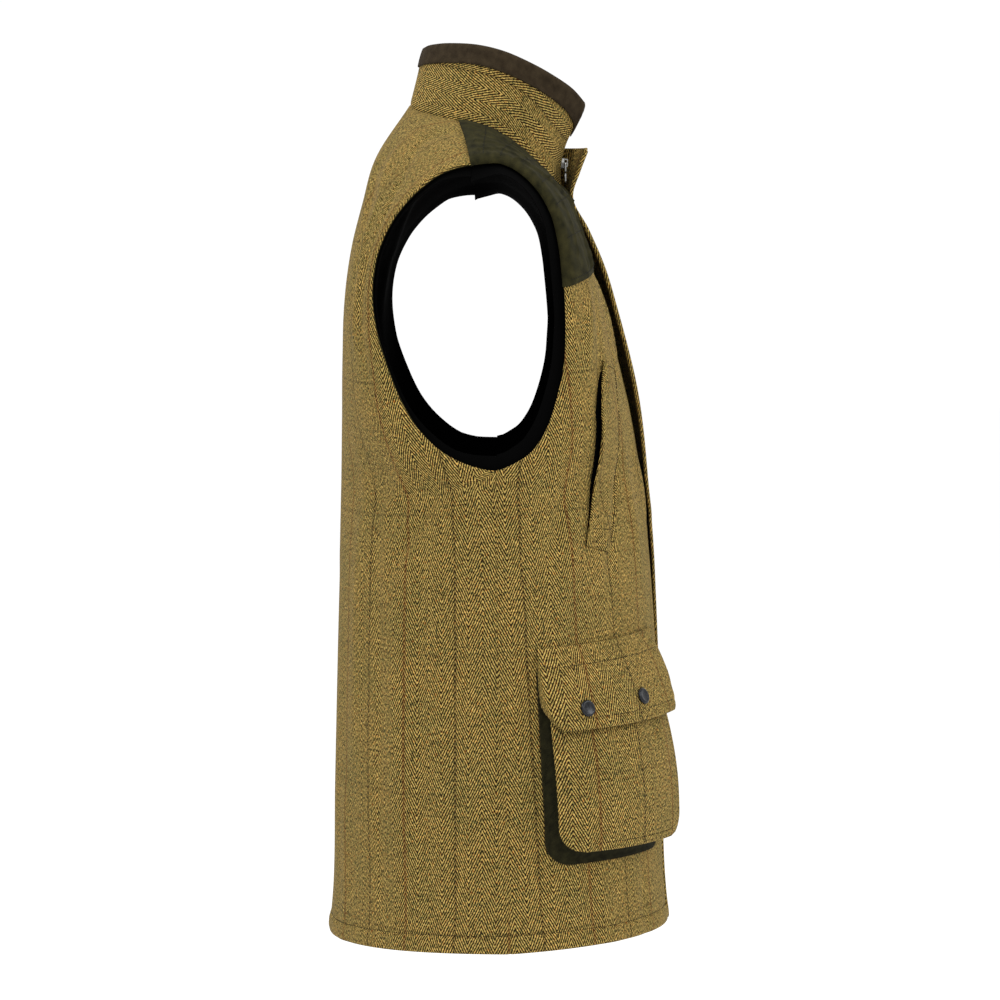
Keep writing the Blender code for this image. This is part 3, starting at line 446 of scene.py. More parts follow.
# points of the smooth outer face, s across (0 inner edge, 1 outer edge) and t up, flat lists
def smoothAt(panel, s, t):
    keys = panel["keys"]
    inner = throughWithCorner(keys, panel["inner"], t, panel["neckRow"])
    outer = throughWithCorner(keys, panel["outer"], t, underarmRow, panel["footWay"])
    fine, edge = panel["eased"]
    eased = pointsAt(t, fine, edge)
    first = inner + through(keys, panel["fromInner"], t)
    second = eased + through(keys, panel["fromOuter"], t)
    s = s[:, None]
    outer = eased + (outer - eased) * s**6
    r = 1 - s
    return r**3 * inner + 3 * r * r * s * first + 3 * r * s * s * second + s**3 * outer


def facingAt(panel, s, t):
    small = 2e-3
    top = panel["keys"][-1]
    ahead = small * top
    acrossWay = smoothAt(panel, np.minimum(s + small, 1), t) - smoothAt(panel, np.maximum(s - small, 0), t)
    upWay = smoothAt(panel, s, np.minimum(t + ahead, top)) - smoothAt(panel, s, np.maximum(t - ahead, 0))
    return unit(np.cross(upWay, acrossWay)) * panel["sense"]


# distance across from the centre line, measured on the cloth
def distanceAt(panel, s, t, parts=20):
    total = np.abs(smoothAt(panel, s * 0, t)[:, 0]) - abs(panel["inner"][0, 0])
    last = smoothAt(panel, s * 0, t)
    for k in range(1, parts + 1):
        here = smoothAt(panel, s * k / parts, t)
        total = total + np.linalg.norm(here - last, axis=1)
        last = here
    return total


def edgeRise(kind, off, share=1.0):
    tall, wide = edgeRelief[kind]
    return share * tall * mm * bell(off, wide * mm)


# how far the cloth stands out from the smooth form: creases, seams, turned edges and the hem
def reliefAt(panel, distance, height, t, width):
    spot = np.stack([distance, height], axis=1)
    rise = np.zeros(len(distance))
    for startU, startZ, endU, endZ, wide, tall in panel["creases"]:
        ends = np.array([[startU, startZ], [endU, endZ]]) * mm
        near, along = crease(spot, *ends, wide * mm)
        rise += creaseScale * tall * mm * near * (0.45 + 0.55 * np.sin(math.pi * along))
    sway = np.sin(distance / (31 * mm) + 2.2 * np.sin(height / (140 * mm))) * 0.35 * mm
    rise += sway * np.clip((panel["keys"][-1] - t) / 0.25, 0, 1)
    toOuter = width - distance
    rise *= 1 - bell(toOuter, creaseEnd) * (height > -310 * mm)
    inArmhole = 1 / (1 + np.exp(-(t - panel["keys"][underarmRow] - 4 * mm) / (2 * mm)))
    rise += edgeRise("armholeRoll", toOuter, inArmhole)
    rise += edgeRise("armholeRidge", toOuter - ridgeIn, inArmhole)
    rise += edgeRise("sideSeam", toOuter, 1 - inArmhole)
    rise += edgeRise("shoulderSeam", panel["keys"][-1] - t)
    rise += 0.9 * mm * np.clip((hemBand - t) / (3 * mm), 0, 1)
    rise += edgeRise("hemGroove", t - hemBand)
    rise += 0.35 * mm * np.sin(distance / (9 * mm)) * bell(t - 0.6 * hemBand, 6 * mm)
    return rise + edgeRise("hemRoll", t)


# points of the finished cloth, its outward directions, and distance across and height run, as flat lists
def clothAt(panel, s, t):
    points = smoothAt(panel, s, t)
    facing = facingAt(panel, s, t)
    distance = distanceAt(panel, s, t)
    width = distanceAt(panel, s * 0 + 1, t)
    points = points + facing * reliefAt(panel, distance, points[:, 2], t, width)[:, None]
    return points, facing, np.stack([distance, t], axis=1)


flatteningRounds = 40
searchRounds = 14


# The panel laid flat with as little stretch as the cloth allows, centre edge straight, so that the
# weave runs on it as it would on the cut piece. Kept as a small grid over (s, t).
def layFlat(panel, rows=52, columns=18):
    t = np.linspace(panel["keys"][0], panel["keys"][-1], rows + 1)
    across = np.linspace(0, 1, columns + 1)
    sAll, tAll = np.meshgrid(across, t)
    points = smoothAt(panel, sAll.ravel(), tAll.ravel())
    flat = np.stack([distanceAt(panel, sAll.ravel(), tAll.ravel()), tAll.ravel()], axis=1)
    ids = np.arange(len(points)).reshape(sAll.shape)
    a, b, c, d = quadsOf(ids).T
    corners = np.concatenate([np.stack(k, axis=1) for k in ((a, b, c), (a, c, d), (a, b, d), (b, c, d))])
    p = points[corners]
    along = p[:, 1] - p[:, 0]
    length = np.linalg.norm(along, axis=1)
    way = along / length[:, None]
    third = p[:, 2] - p[:, 0]
    run = np.sum(third * way, axis=1)
    height = np.linalg.norm(third - run[:, None] * way, axis=1)
    local = np.zeros((len(corners), 3, 2))
    local[:, 1, 0] = length
    local[:, 2, 0] = run
    local[:, 2, 1] = height
    pairs = ((0, 1), (1, 2), (2, 0))
    count = len(points)
    spread = np.zeros((count, count))
    for i, j in pairs:
        for m, n, share in ((i, i, 1.0), (j, j, 1.0), (i, j, -1.0), (j, i, -1.0)):
            np.add.at(spread, (corners[:, m], corners[:, n]), share)
    centre = np.abs(points[:, 0] - panel["inner"][0, 0]) < 1e-5
    centre &= sAll.ravel() == 0
    held = (centre, ids.ravel() == 0)
    inverse = [np.linalg.inv(spread[np.ix_(~h, ~h)]) for h in held]
    for _ in range(flatteningRounds):
        target = np.zeros((count, 2))
        q = flat[corners]
        mixed = sum(np.einsum("na,nb->nab", q[:, j] - q[:, i], local[:, j] - local[:, i]) for i, j in pairs)
        angle = np.arctan2(mixed[:, 1, 0] - mixed[:, 0, 1], mixed[:, 0, 0] + mixed[:, 1, 1])
        c, s = np.cos(angle), np.sin(angle)
        turn = np.stack([c, -s, s, c], axis=1).reshape(-1, 2, 2)
        for i, j in pairs:
            edge = np.einsum("nab,nb->na", turn, local[:, j] - local[:, i])
            np.add.at(target, corners[:, j], edge)
            np.add.at(target, corners[:, i], -edge)
        for k in (0, 1):
            free = ~held[k]
            flat[free, k] = inverse[k] @ (target[free, k] - spread[np.ix_(free, held[k])] @ flat[held[k], k])
    panel["flat"] = (across, t, flat.reshape(*sAll.shape, 2))


def cutAt(panel, s, t):
    sLines, tLines, flat = panel["flat"]
    i = np.clip(np.searchsorted(tLines, t, side="right") - 1, 0, len(tLines) - 2)
    j = np.clip(np.searchsorted(sLines, s, side="right") - 1, 0, len(sLines) - 2)
    v = ((t - tLines[i]) / (tLines[i + 1] - tLines[i]))[:, None]
    u = ((s - sLines[j]) / (sLines[j + 1] - sLines[j]))[:, None]
    low = flat[i, j] * (1 - u) + flat[i, j + 1] * u
    high = flat[i + 1, j] * (1 - u) + flat[i + 1, j + 1] * u
    return low * (1 - v) + high * v


layFlat(frontPanel)
layFlat(backPanel)


# the (s, t) of places on the flat cut of a panel
def findOnCut(panel, wanted):
    sLines, tLines, flat = panel["flat"]
    sAll, tAll = np.meshgrid(sLines, tLines)
    known = flat.reshape(-1, 2)
    nearest = [int(np.argmin(np.sum((known - w) ** 2, axis=1))) for w in wanted]
    spot = np.stack([sAll.ravel()[nearest], tAll.ravel()[nearest]], axis=1)
    top = tLines[-1]
    for _ in range(searchRounds):
        here = cutAt(panel, spot[:, 0], spot[:, 1])
        small = 1e-3
        ds = (cutAt(panel, spot[:, 0] + small, spot[:, 1]) - here) / small
        dt = (cutAt(panel, spot[:, 0], spot[:, 1] + small * top) - here) / (small * top)
        miss = wanted - here
        size = ds[:, 0] * dt[:, 1] - ds[:, 1] * dt[:, 0]
        moveS = (miss[:, 0] * dt[:, 1] - miss[:, 1] * dt[:, 0]) / size
        moveT = (ds[:, 0] * miss[:, 1] - ds[:, 1] * miss[:, 0]) / size
        spot[:, 0] = np.clip(spot[:, 0] + 0.8 * np.clip(moveS, -0.1, 0.1), 0, 1)
        spot[:, 1] = np.clip(spot[:, 1] + 0.8 * np.clip(moveT, -0.1 * top, 0.1 * top), 0, top)
    return spot


# one panel's grid, with its outward directions shared along the seams
def panelGrid(panel, other, spacing, columns):
    keys = panel["keys"]
    spans = zip(keys[:-1], keys[1:])
    lines = [np.linspace(a, b, max(2, round((b - a) / spacing)), endpoint=False) for a, b in spans]
    lines = np.concatenate(lines + [[keys[-1]], np.arange(1, 15) * 1.3 * mm + 1.5 * mm])
    lines = np.unique(np.round(lines, 6))
    lines = lines[np.concatenate([[True], np.diff(lines) > 0.4 * mm])]
    lines[-1] = keys[-1]
    near = np.linspace(0, 1, columns + 1)
    # closer together at the outer edge, where the cloth turns in
    s = near + 0.10 * np.sin(math.pi * near) * near
    s = s / s[-1]
    sAll, tAll = np.meshgrid(s, lines)
    points, facing, place = clothAt(panel, sAll.ravel(), tAll.ravel())
    shape = sAll.shape
    points, facing, place = (part.reshape(*shape, -1) for part in (points, facing, place))
    facing[-1] = unit(facing[-1] + facingAt(other, s, np.full(len(s), other["keys"][-1])))
    seam = lines <= keys[underarmRow] + 1e-9
    ends = np.ones(seam.sum())
    facing[seam, -1] = unit(facing[seam, -1] + facingAt(other, ends, lines[seam]))
    draw = 0.2 * mm
    points[-1] += draw * unit(points[-2] - points[-1])
    points[seam, -1] += draw * unit(points[seam, -2] - points[seam, -1])
    return points, facing, place, cutAt(panel, sAll.ravel(), tAll.ravel()).reshape(*shape, 2)


sides = (("right", 1.0), ("left", -1.0))


# points, directions or places as they are on one side: the first number is turned or kept
def flipped(array, flip):
    return array * np.array([flip] + [1.0] * (array.shape[-1] - 1))


def meshPiece(name, verts, faces, places, material, body="vest"):
    mesh = bpy.data.meshes.new(name)
    mesh.from_pydata([tuple(v) for v in verts], [], faces)
    layer = mesh.uv_layers.new(name="grain")
    loops = np.empty(len(mesh.loops), np.int32)
    mesh.loops.foreach_get("vertex_index", loops)
    layer.data.foreach_set("uv", np.asarray(places, np.float32)[loops].ravel())
    mesh.materials.append(materials[material])
    mesh.polygons.foreach_set("use_smooth", [True] * len(mesh.polygons))
    mesh.validate()
    mesh.update()
    piece = bpy.data.objects.new(name, mesh)
    bpy.context.scene.collection.objects.link(piece)
    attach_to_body(piece, body)
    return piece


rimRound = 0.45  # how far a cloth's rim bulges, as a share of its thickness


# A closed thin shell from grids of (points, outward directions, places on the cut). Grids that share
# an edge are joined, the thickness runs inwards, and the rim is rounded.
def clothShell(name, sheets, thick, material, node):
    flat = [np.concatenate([g[k].reshape(-1, g[k].shape[-1]) for g in sheets]) for k in range(3)]
    keys = np.round(flat[0] / (0.01 * mm)).astype(np.int64)
    _, first, index = np.unique(keys, axis=0, return_index=True, return_inverse=True)
    index = index.reshape(-1)
    points, places = flat[0][first], flat[2][first]
    facing = np.zeros_like(points)
    np.add.at(facing, index, flat[1])
    facing = unit(facing)
    quads = []
    offset = 0
    for grid in (sheet[0] for sheet in sheets):
        rows, columns = grid.shape[:2]
        ids = index[offset : offset + rows * columns].reshape(rows, columns)
        offset += rows * columns
        quad = quadsOf(ids)
        a, b, c = points[quad[:, 0]], points[quad[:, 1]], points[quad[:, 2]]
        turned = np.sum(np.cross(b - a, c - a) * facing[quad[:, 0]]) < 0
        quads.append(quad[:, ::-1] if turned else quad)
    quads = np.concatenate(quads)
    count = len(points)
    if not np.isscalar(thick):
        thick = np.concatenate([t.reshape(-1) for t in thick])[first][:, None]
    inside = points - facing * thick
    ends = np.concatenate([quads[:, [0, 1]], quads[:, [1, 2]], quads[:, [2, 3]], quads[:, [3, 0]]])
    _, which, uses = np.unique(np.sort(ends, axis=1), axis=0, return_inverse=True, return_counts=True)
    rim = ends[uses[which.reshape(-1)] == 1]
    push = np.zeros_like(points)
    outward = np.cross(points[rim[:, 1]] - points[rim[:, 0]], facing[rim[:, 0]])
    np.add.at(push, rim[:, 0], outward)
    np.add.at(push, rim[:, 1], outward)
    used = np.unique(rim)
    push[used] = unit(push[used])
    # the same way outwards, on the flat cut
    edges = places[quads[:, [1, 2, 3, 0]]] - places[quads]
    winding = np.sign(np.sum(edges[:, 0, 0] * edges[:, 1, 1] - edges[:, 0, 1] * edges[:, 1, 0]))
    pushFlat = np.zeros_like(places)
    side = (places[rim[:, 1]] - places[rim[:, 0]])[:, ::-1] * np.array([1.0, -1.0]) * winding
    np.add.at(pushFlat, rim[:, 0], side)
    np.add.at(pushFlat, rim[:, 1], side)
    pushFlat[used] /= np.maximum(np.linalg.norm(pushFlat[used], axis=1, keepdims=True), 1e-9)
    a, b = rim[:, 0], rim[:, 1]
    faces = [tuple(q) for q in quads.tolist()]
    faces += [tuple(q) for q in (quads[:, ::-1] + count).tolist()]
    verts, flatPlaces = [points, inside], [places, places]
    centre = (points[used] + inside[used]) / 2
    deep = thick if np.isscalar(thick) else thick[used]
    last = np.arange(count)
    for k, degrees in enumerate((38, 90, 142)):
        c, s = math.cos(math.radians(degrees)), math.sin(math.radians(degrees))
        verts.append(centre + facing[used] * 0.5 * deep * c + push[used] * rimRound * deep * s)
        flatPlaces.append(places[used] + pushFlat[used] * 0.4 * (k + 1) * deep)
        ring = np.full(count, -1)
        ring[used] = 2 * count + k * len(used) + np.arange(len(used))
        faces += [tuple(q) for q in np.stack([last[b], last[a], ring[a], ring[b]], axis=1).tolist()]
        last = ring
    faces += [tuple(q) for q in np.stack([last[b], last[a], a + count, b + count], axis=1).tolist()]
    piece = meshPiece(name, np.concatenate(verts), faces, np.concatenate(flatPlaces), material)
    if node:
        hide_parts(node)
    # the flat cut, from the places on it
    size = places.max(axis=0) - places.min(axis=0)
    a, b, c, d = (points[quads[:, k]] for k in range(4))
    area = 0.5 * np.linalg.norm(np.cross(c - a, d - b), axis=1).sum()
    width, length = float(size[0]) + 1 * mm, float(size[1]) + 1 * mm
    area = min(float(area), width * length)
    return piece


def onBothSides(name, grid, thick, material, isNode=True):
    for side, flip in sides:
        node = name + "_" + side if isNode else None
        sheet = [flipped(part, flip) for part in grid]
        clothShell(name + "_" + side + "_cloth", [sheet], thick, material, node)


# one cloth from the right half and its mirror image
def acrossMiddle(name, grid, thick, material, node):
    halves = [[flipped(part, flip) for part in grid] for side, flip in sides]
    clothShell(name, halves, thick, material, node)


panelSpacing = 4.5 * mm
frontGrid = panelGrid(frontPanel, backPanel, panelSpacing, frontPanel["columns"])
backGrid = panelGrid(backPanel, frontPanel, panelSpacing, backPanel["columns"])
centreBack = backGrid[0][:, 0, 0] > -1e-6
backGrid[1][centreBack, 0, 0] = 0.0
onBothSides("front", (frontGrid[0], frontGrid[1], frontGrid[3]), clothThick, "tweed")
acrossMiddle("back_cloth", (backGrid[0], backGrid[1], backGrid[3]), clothThick, "tweed", "back")
print("stage: tweed panels made")

# Black lining inside the panels. At the armholes it stands past the tweed's edge.
lining = {
    "thick": 0.8 * mm,
    "gap": 0.3 * mm,
    "extra": 2.3 * mm,
    "spacing": 6 * mm,
    "columns": 44,
    # height, and how far the lining stands past the tweed there, in mm
    "frontPast": (
        (-312, 14), (-306, 13.6), (-296, 12.8), (-282, 12.3), (-253, 11), (-226, 10.3), (-200, 9.8),
        (-181, 8.6), (-136, 10.6), (-107, 11.6), (-75, 13.2), (-52, 13.6), (-44, 11.5),
    ),
    "backPast": (
        (-312, 14), (-307, 10.5), (-300, 7.8), (-285, 6.8), (-260, 4.2), (-200, 0.6), (-120, 1.4),
        (-84, 2.4), (-61, 4.4), (-53, 7.2), (-46.6, 11.8), (-44, 12),
    ),
}


# the way into the armhole from each row's outer end; at the underarm it is up, at the shoulder down
def holeWay(panel, points, place):
    edge, inner = points[:, -1], points[:, -2]
    first = int(np.argmax(place[:, 0, 1] >= panel["keys"][underarmRow] - 1e-9))
    along = np.zeros_like(edge)
    along[first:] = unit(np.gradient(edge[first:], axis=0))
    along[:first] = along[first]
    away = edge - inner
    way = unit(away - along * np.sum(away * along, axis=1)[:, None])
    t = place[:, 0, 1]
    near = bell(t - panel["keys"][underarmRow], 20 * mm)[:, None]
    way = way * (1 - near) + np.array([0.0, 0.0, 1.0]) * near
    near = bell(t - panel["keys"][-1], 34 * mm)[:, None]
    return unit(way * (1 - near) + np.array([-0.5, 0.0, -0.85]) * near)


def makeLinings():
    done = {}
    for name, panel, other in (("front", frontPanel, backPanel), ("back", backPanel, frontPanel)):
        points, facing, place = panelGrid(panel, other, lining["spacing"], lining["columns"])[:3]
        width = distanceAt(panel, np.ones(len(points)), place[:, 0, 1])[:, None]
        toOuter = width - place[:, :, 0]
        above = place[:, :, 1] - panel["keys"][underarmRow]
        near = np.clip(1 - toOuter / (26 * mm), 0, 1) * np.clip(1 + above / (14 * mm), 0, 1)
        sink = clothThick + lining["gap"] + lining["extra"] * np.minimum(1.6 * near, 1)
        points = points - facing * sink[:, :, None]
        way = holeWay(panel, points, place)
        past = np.array(lining[name + "Past"]) * mm
        beyond = np.interp(points[:, -1, 2], past[:, 0], past[:, 1])
        beyond = np.clip(1 + above[:, -1] / (4 * mm), 0, 1) * beyond
        points[:, -1] += way * beyond[:, None]
        points[:, -2] += way * 0.5 * beyond[:, None]
        # the lining stops at the hem's inner edge
        points[0] += (points[1] - points[0]) * 0.7
        if name == "front":
            points[:, 0] += (points[:, 1] - points[:, 0]) * 0.8
        else:
            centre = np.abs(points[:, 0, 0]) < 0.5 * mm
            points[centre, 0, 0] = 0.0
            facing[centre, 0, 0] = 0.0
        done[name] = (points, facing, place)
    thick = lining["thick"]
    onBothSides("lining_front", done["front"], thick, "acetateLining")
    acrossMiddle("lining_back_cloth", done["back"], thick, "acetateLining", "lining_back")


makeLinings()

# Narrow green facing turned inside each armhole, a sliver past the tweed.
armFacing = {
    "deep": 6 * mm,
    "thick": 0.7 * mm,
    "gap": 0.2 * mm,
    "step": 1.9 * mm,
    # height, and how far it shows past the tweed there, in mm
    "frontShow": ((-308, -0.6), (-40, -0.6)),
    "backShow": ((-308, -0.4), (-290, 0.4), (-260, 1.1), (-200, 0.7), (-165, -0.4), (-40, -0.6)),
}


def makeFacings():
    loops = []
    for name, panel, sheet in (("front", frontPanel, frontGrid), ("back", backPanel, backGrid)):
        points, facing, place = sheet[:3]
        start = int(np.argmax(place[:, 0, 1] >= panel["keys"][underarmRow] - 1e-9))
        way = holeWay(panel, points, place)
        chosen = slice(start, len(points))
        edge, out, hole = points[chosen, -1], facing[chosen, -1], way[chosen]
        back = unit(points[chosen, -3] - edge)
        near = clothThick + armFacing["gap"]
        table = np.array(armFacing[name + "Show"]) * mm
        show = np.interp(edge[:, 2], table[:, 0], table[:, 1])[:, None]
        row = [edge + hole * show * share - out * near for share in (1.0, 0.5, 0.0)]
        for a in (0.35, 0.7, 1.0):
            row.append(edge + back * armFacing["deep"] * a - out * near)
        loops.append((np.stack(row, axis=1), np.repeat(out[:, None], len(row), axis=1)))
    points = np.concatenate([loops[0][0], loops[1][0][-2:0:-1]])
    out = np.concatenate([loops[0][1], loops[1][1][-2:0:-1]])
    points = np.concatenate([points, points[:1]])
    out = np.concatenate([out, out[:1]])
    across = np.arange(points.shape[1]) * armFacing["step"]
    grid = (points, unit(out), placeGrid(across[None, :], runOf(points[:, 0])[:, None]))
    onBothSides("armhole_facing", grid, armFacing["thick"], "moleskinGreen")


makeFacings()
print("stage: linings and facings made")

# Stand collar, from the right front end to the centre back, in mm.
# seamX seamY seamZ  topX topY topZ  bellyX bellyY
collar = {
    "rows": (
        (-7, -56.8, -62.6, -31, -79, 11.5, 8, 9),
        (-30, -46.5, -56, -48, -66, 25, 4, 5),
        (-54, -31, -41.5, -62, -48.3, 36.2, 1, 2),
        (-70, -13, -25.5, -70, -29, 46.3, 0, 0),
        (-79, 10, -12, -71.5, -4.5, 57, 0, 0),
        (-77, 38.3, -3.8, -66, 20, 63.5, 0, 0),
        (-52, 62.5, 3, -47, 45, 66.5, 0, 0),
        (-25, 79, 9.5, -24, 62, 67, 0, 0),
        (0, 82.5, 14.5, 0, 69, 66.5, 0, 0),
    ),
    "foot": 0.006,
    "head": 0.985,
    "thick": 3.0 * mm,
    "aside": 3.0 * mm,
    "corner": 7.0 * mm,
    "steps": 96,
    "levels": 30,
    # start round and up (0 to 1), end round and up, half width in mm, rise in mm
    "creases": (
        (0.10, 0.10, 0.30, 0.62, 6, 0.9),
        (0.34, 0.08, 0.42, 0.55, 7, -0.8),
        (0.55, 0.12, 0.60, 0.70, 8, 0.8),
        (0.74, 0.10, 0.80, 0.60, 8, -0.7),
        (0.90, 0.15, 0.98, 0.70, 9, 0.7),
    ),
}
binding = {"deep": 18 * mm, "thick": 1.3 * mm, "gap": 0.4 * mm, "over": 1.9 * mm}


def collarAt(u, v):
    table = np.array(collar["rows"], float) * mm
    row = through(np.linspace(0, 1, len(table)), table, u)
    v = v[:, None]
    straight = row[:, 0:3] * (1 - v) + row[:, 3:6] * v
    straight[:, 0:2] += 4 * v * (1 - v) * row[:, 6:8]
    return straight


def collarFacing(u, v):
    small = 4e-3
    around = collarAt(np.minimum(u + small, 1), v) - collarAt(np.maximum(u - small, 0), v)
    up = collarAt(u, np.minimum(v + small, 1)) - collarAt(u, np.maximum(v - small, 0))
    return unit(np.cross(up, around))


roundLength = 0.33  # metres round half the collar
collarTall = 0.062


def collarSheet(levels, steps):
    around = np.linspace(0, 1, steps + 1) ** 1.15
    uAll = np.tile(around, (len(levels), 1))
    vAll = np.array([np.broadcast_to(v, around.shape) for v in levels])
    corner = collar["corner"]
    fromEnd = np.clip(corner - around * roundLength, 0, None)
    vAll = vAll * (1 - (corner - np.sqrt(corner**2 - fromEnd**2)) / collarTall)
    points = collarAt(uAll.ravel(), vAll.ravel())
    facing = collarFacing(uAll.ravel(), vAll.ravel())
    spot = np.stack([uAll.ravel() * roundLength, vAll.ravel() * collarTall], axis=1)
    rise = np.zeros(len(spot))
    for startU, startV, endU, endV, wide, tall in collar["creases"]:
        ends = np.array([[startU, startV], [endU, endV]]) * (roundLength, collarTall)
        rise += tall * mm * crease(spot, *ends, wide * mm)[0]
    rise *= np.clip((1 - vAll.ravel()) / 0.3, 0, 1)
    rise -= 0.7 * mm * bell(vAll.ravel() * collarTall, 2.2 * mm)
    points = points + facing * rise[:, None]
    points = points.reshape(*uAll.shape, 3)
    facing = facing.reshape(*uAll.shape, 3)
    facing[:, -1, 0] = 0.0
    facing = unit(facing)
    points[:, -1, 0] = 0.0
    points = np.concatenate([points, flipped(points, -1.0)[:, -2::-1]], axis=1)
    facing = np.concatenate([facing, flipped(facing, -1.0)[:, -2::-1]], axis=1)
    return points, facing


# the collar is cut with its grain along its length, so places run up the collar and along it
def makeCollar():
    around = np.linspace(0, 1, collar["steps"] + 1) ** 1.15
    zero = np.zeros(len(around))
    height = np.linalg.norm(collarAt(around, zero + 1) - collarAt(around, zero), axis=1)
    bandFoot = 1 - binding["deep"] / height
    foot, tall, count = collar["foot"], collar["head"] - collar["foot"], collar["levels"]
    levels = [zero + foot + tall * k / count for k in range(count + 1)]
    points, facing = collarSheet(levels, collar["steps"])
    rowRun = runOf(points, 1)
    middle = rowRun[len(rowRun) // 2]
    along = np.broadcast_to(middle - middle[-1] / 2, rowRun.shape)
    up = runOf(points)
    place = np.stack([up + collar["aside"], along], axis=-1)
    sheet = (points, facing, place)
    clothShell("collar_cloth", [sheet], collar["thick"], "tweed", "collar")

    # the binding's section: at the band's foot or the head, out from the collar's face, up
    foot, footOut = collarSheet([bandFoot], collar["steps"])
    head, headOut = collarSheet([zero + collar["head"]], collar["steps"])
    foot, footOut, head, headOut = foot[0], footOut[0], head[0], headOut[0]
    rise = unit(head - foot)
    near = binding["gap"]
    far = near + binding["thick"]
    deep = collar["thick"]
    over = binding["over"]
    bulge = (deep + 2 * far) / 2
    outline = [(0.0, near, 0.6 * mm), (0.0, near + 0.35 * binding["thick"], -0.3 * mm)]
    outline += [(0.0, far - 0.4 * mm, -0.2 * mm), (0.0, far, 0.8 * mm)]
    outline += [(f, far + 0.35 * mm * math.sin(math.pi * f), 0.0) for f in (0.2, 0.4, 0.6, 0.8)]
    for k in range(9):
        turn = math.pi * k / 8
        up = (over + 1.3 * mm) * math.sin(turn) - 1.3 * mm
        outline.append((1.0, bulge * math.cos(turn) - deep / 2, up))
    outline += [(f, -deep - far, 0.0) for f in (0.7, 0.35)]
    outline += [(0.0, -deep - far, 0.8 * mm), (0.0, -deep - far + 0.4 * mm, -0.2 * mm)]
    outline += [(0.0, -deep - near, 0.6 * mm), (0.5, -deep - near, 0.0), (1.0, -deep - near, 0.4 * mm)]
    outline += [(1.0, near, 0.4 * mm), (0.5, near, 0.0)]
    verts, places = [], []
    run = runOf(head)
    for i in range(len(head)):
        for share, out, up in outline:
            base = foot[i] * (1 - share) + head[i] * share
            way = footOut[i] * (1 - share) + headOut[i] * share
            verts.append(base + way * out + rise[i] * up)
            places.append((share * binding["deep"] + out, run[i]))
    size = len(outline)
    verts = np.array(verts).reshape(len(head), size, 3)
    for end, inner in ((0, 1), (-1, -2)):
        beyond = unit(head[end] - head[inner]) * 0.9 * mm
        verts[end] += beyond
    faces = []
    for i in range(len(head) - 1):
        for j in range(size):
            n = (j + 1) % size
            faces.append((i * size + j, i * size + n, (i + 1) * size + n, (i + 1) * size + j))
    last = (len(head) - 1) * size
    faces.append(tuple(range(size)))
    faces.append(tuple(last + j for j in reversed(range(size))))
    piece = meshPiece("collar_binding_cloth", verts.reshape(-1, 3), faces, places, "brushedBrown")
    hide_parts("collar_binding")


makeCollar()
print("stage: collar made")


# places on the right front by distance from the centre front and height there, flat lists
def frontSpot(distance, height):
    keys = frontPanel["keys"]
    tFine = np.linspace(0, keys[frontPanel["neckRow"]], 300)
    zFine = throughWithCorner(keys, frontPanel["inner"], tFine, frontPanel["neckRow"])[:, 2]
    t = np.interp(height, zFine, tFine)
    fine = np.linspace(0, 1, 61)
    s = np.empty_like(t)
    for k in range(len(t)):
        row = smoothAt(frontPanel, fine, np.full(61, t[k]))
        s[k] = np.interp(distance[k], runOf(row), fine)
    return clothAt(frontPanel, s, t)[:2]


def spotGrid(distance, height):
    points, facing = frontSpot(distance.ravel(), height.ravel())
    return points.reshape(*distance.shape, 3), facing.reshape(*distance.shape, 3)


# Storm flap over the zip: height, depth of what lies behind it, how far the free edge stands off, in mm.
stormFlap = {
    "rows": (
        (-24, -60.5, 18.4),
        (-48, -58.0, 12.2),
        (-70, -61.8, 1.9),
        (-99, -71.4, 6.1),
        (-136, -84.8, 8.8),
        (-172, -96.4, 8.6),
        (-228, -111.2, 7.8),
        (-301, -126.6, 4.0),
        (-375, -135.9, 1.4),
        (-468, -142.4, -0.2),
        (-600, -147.5, -0.8),
        (-710, -152.4, -0.8),
        (-732, -154.8, -0.8),
    ),
    "wrap": ((24, 8.0), (48, 6.5), (70, 2.2), (95, 0.0)),
    "attached": 31 * mm,
    "free": -30 * mm,
    "thick": 2.4 * mm,
    "corner": 4.5 * mm,
    "turned": 6.0 * mm,
}


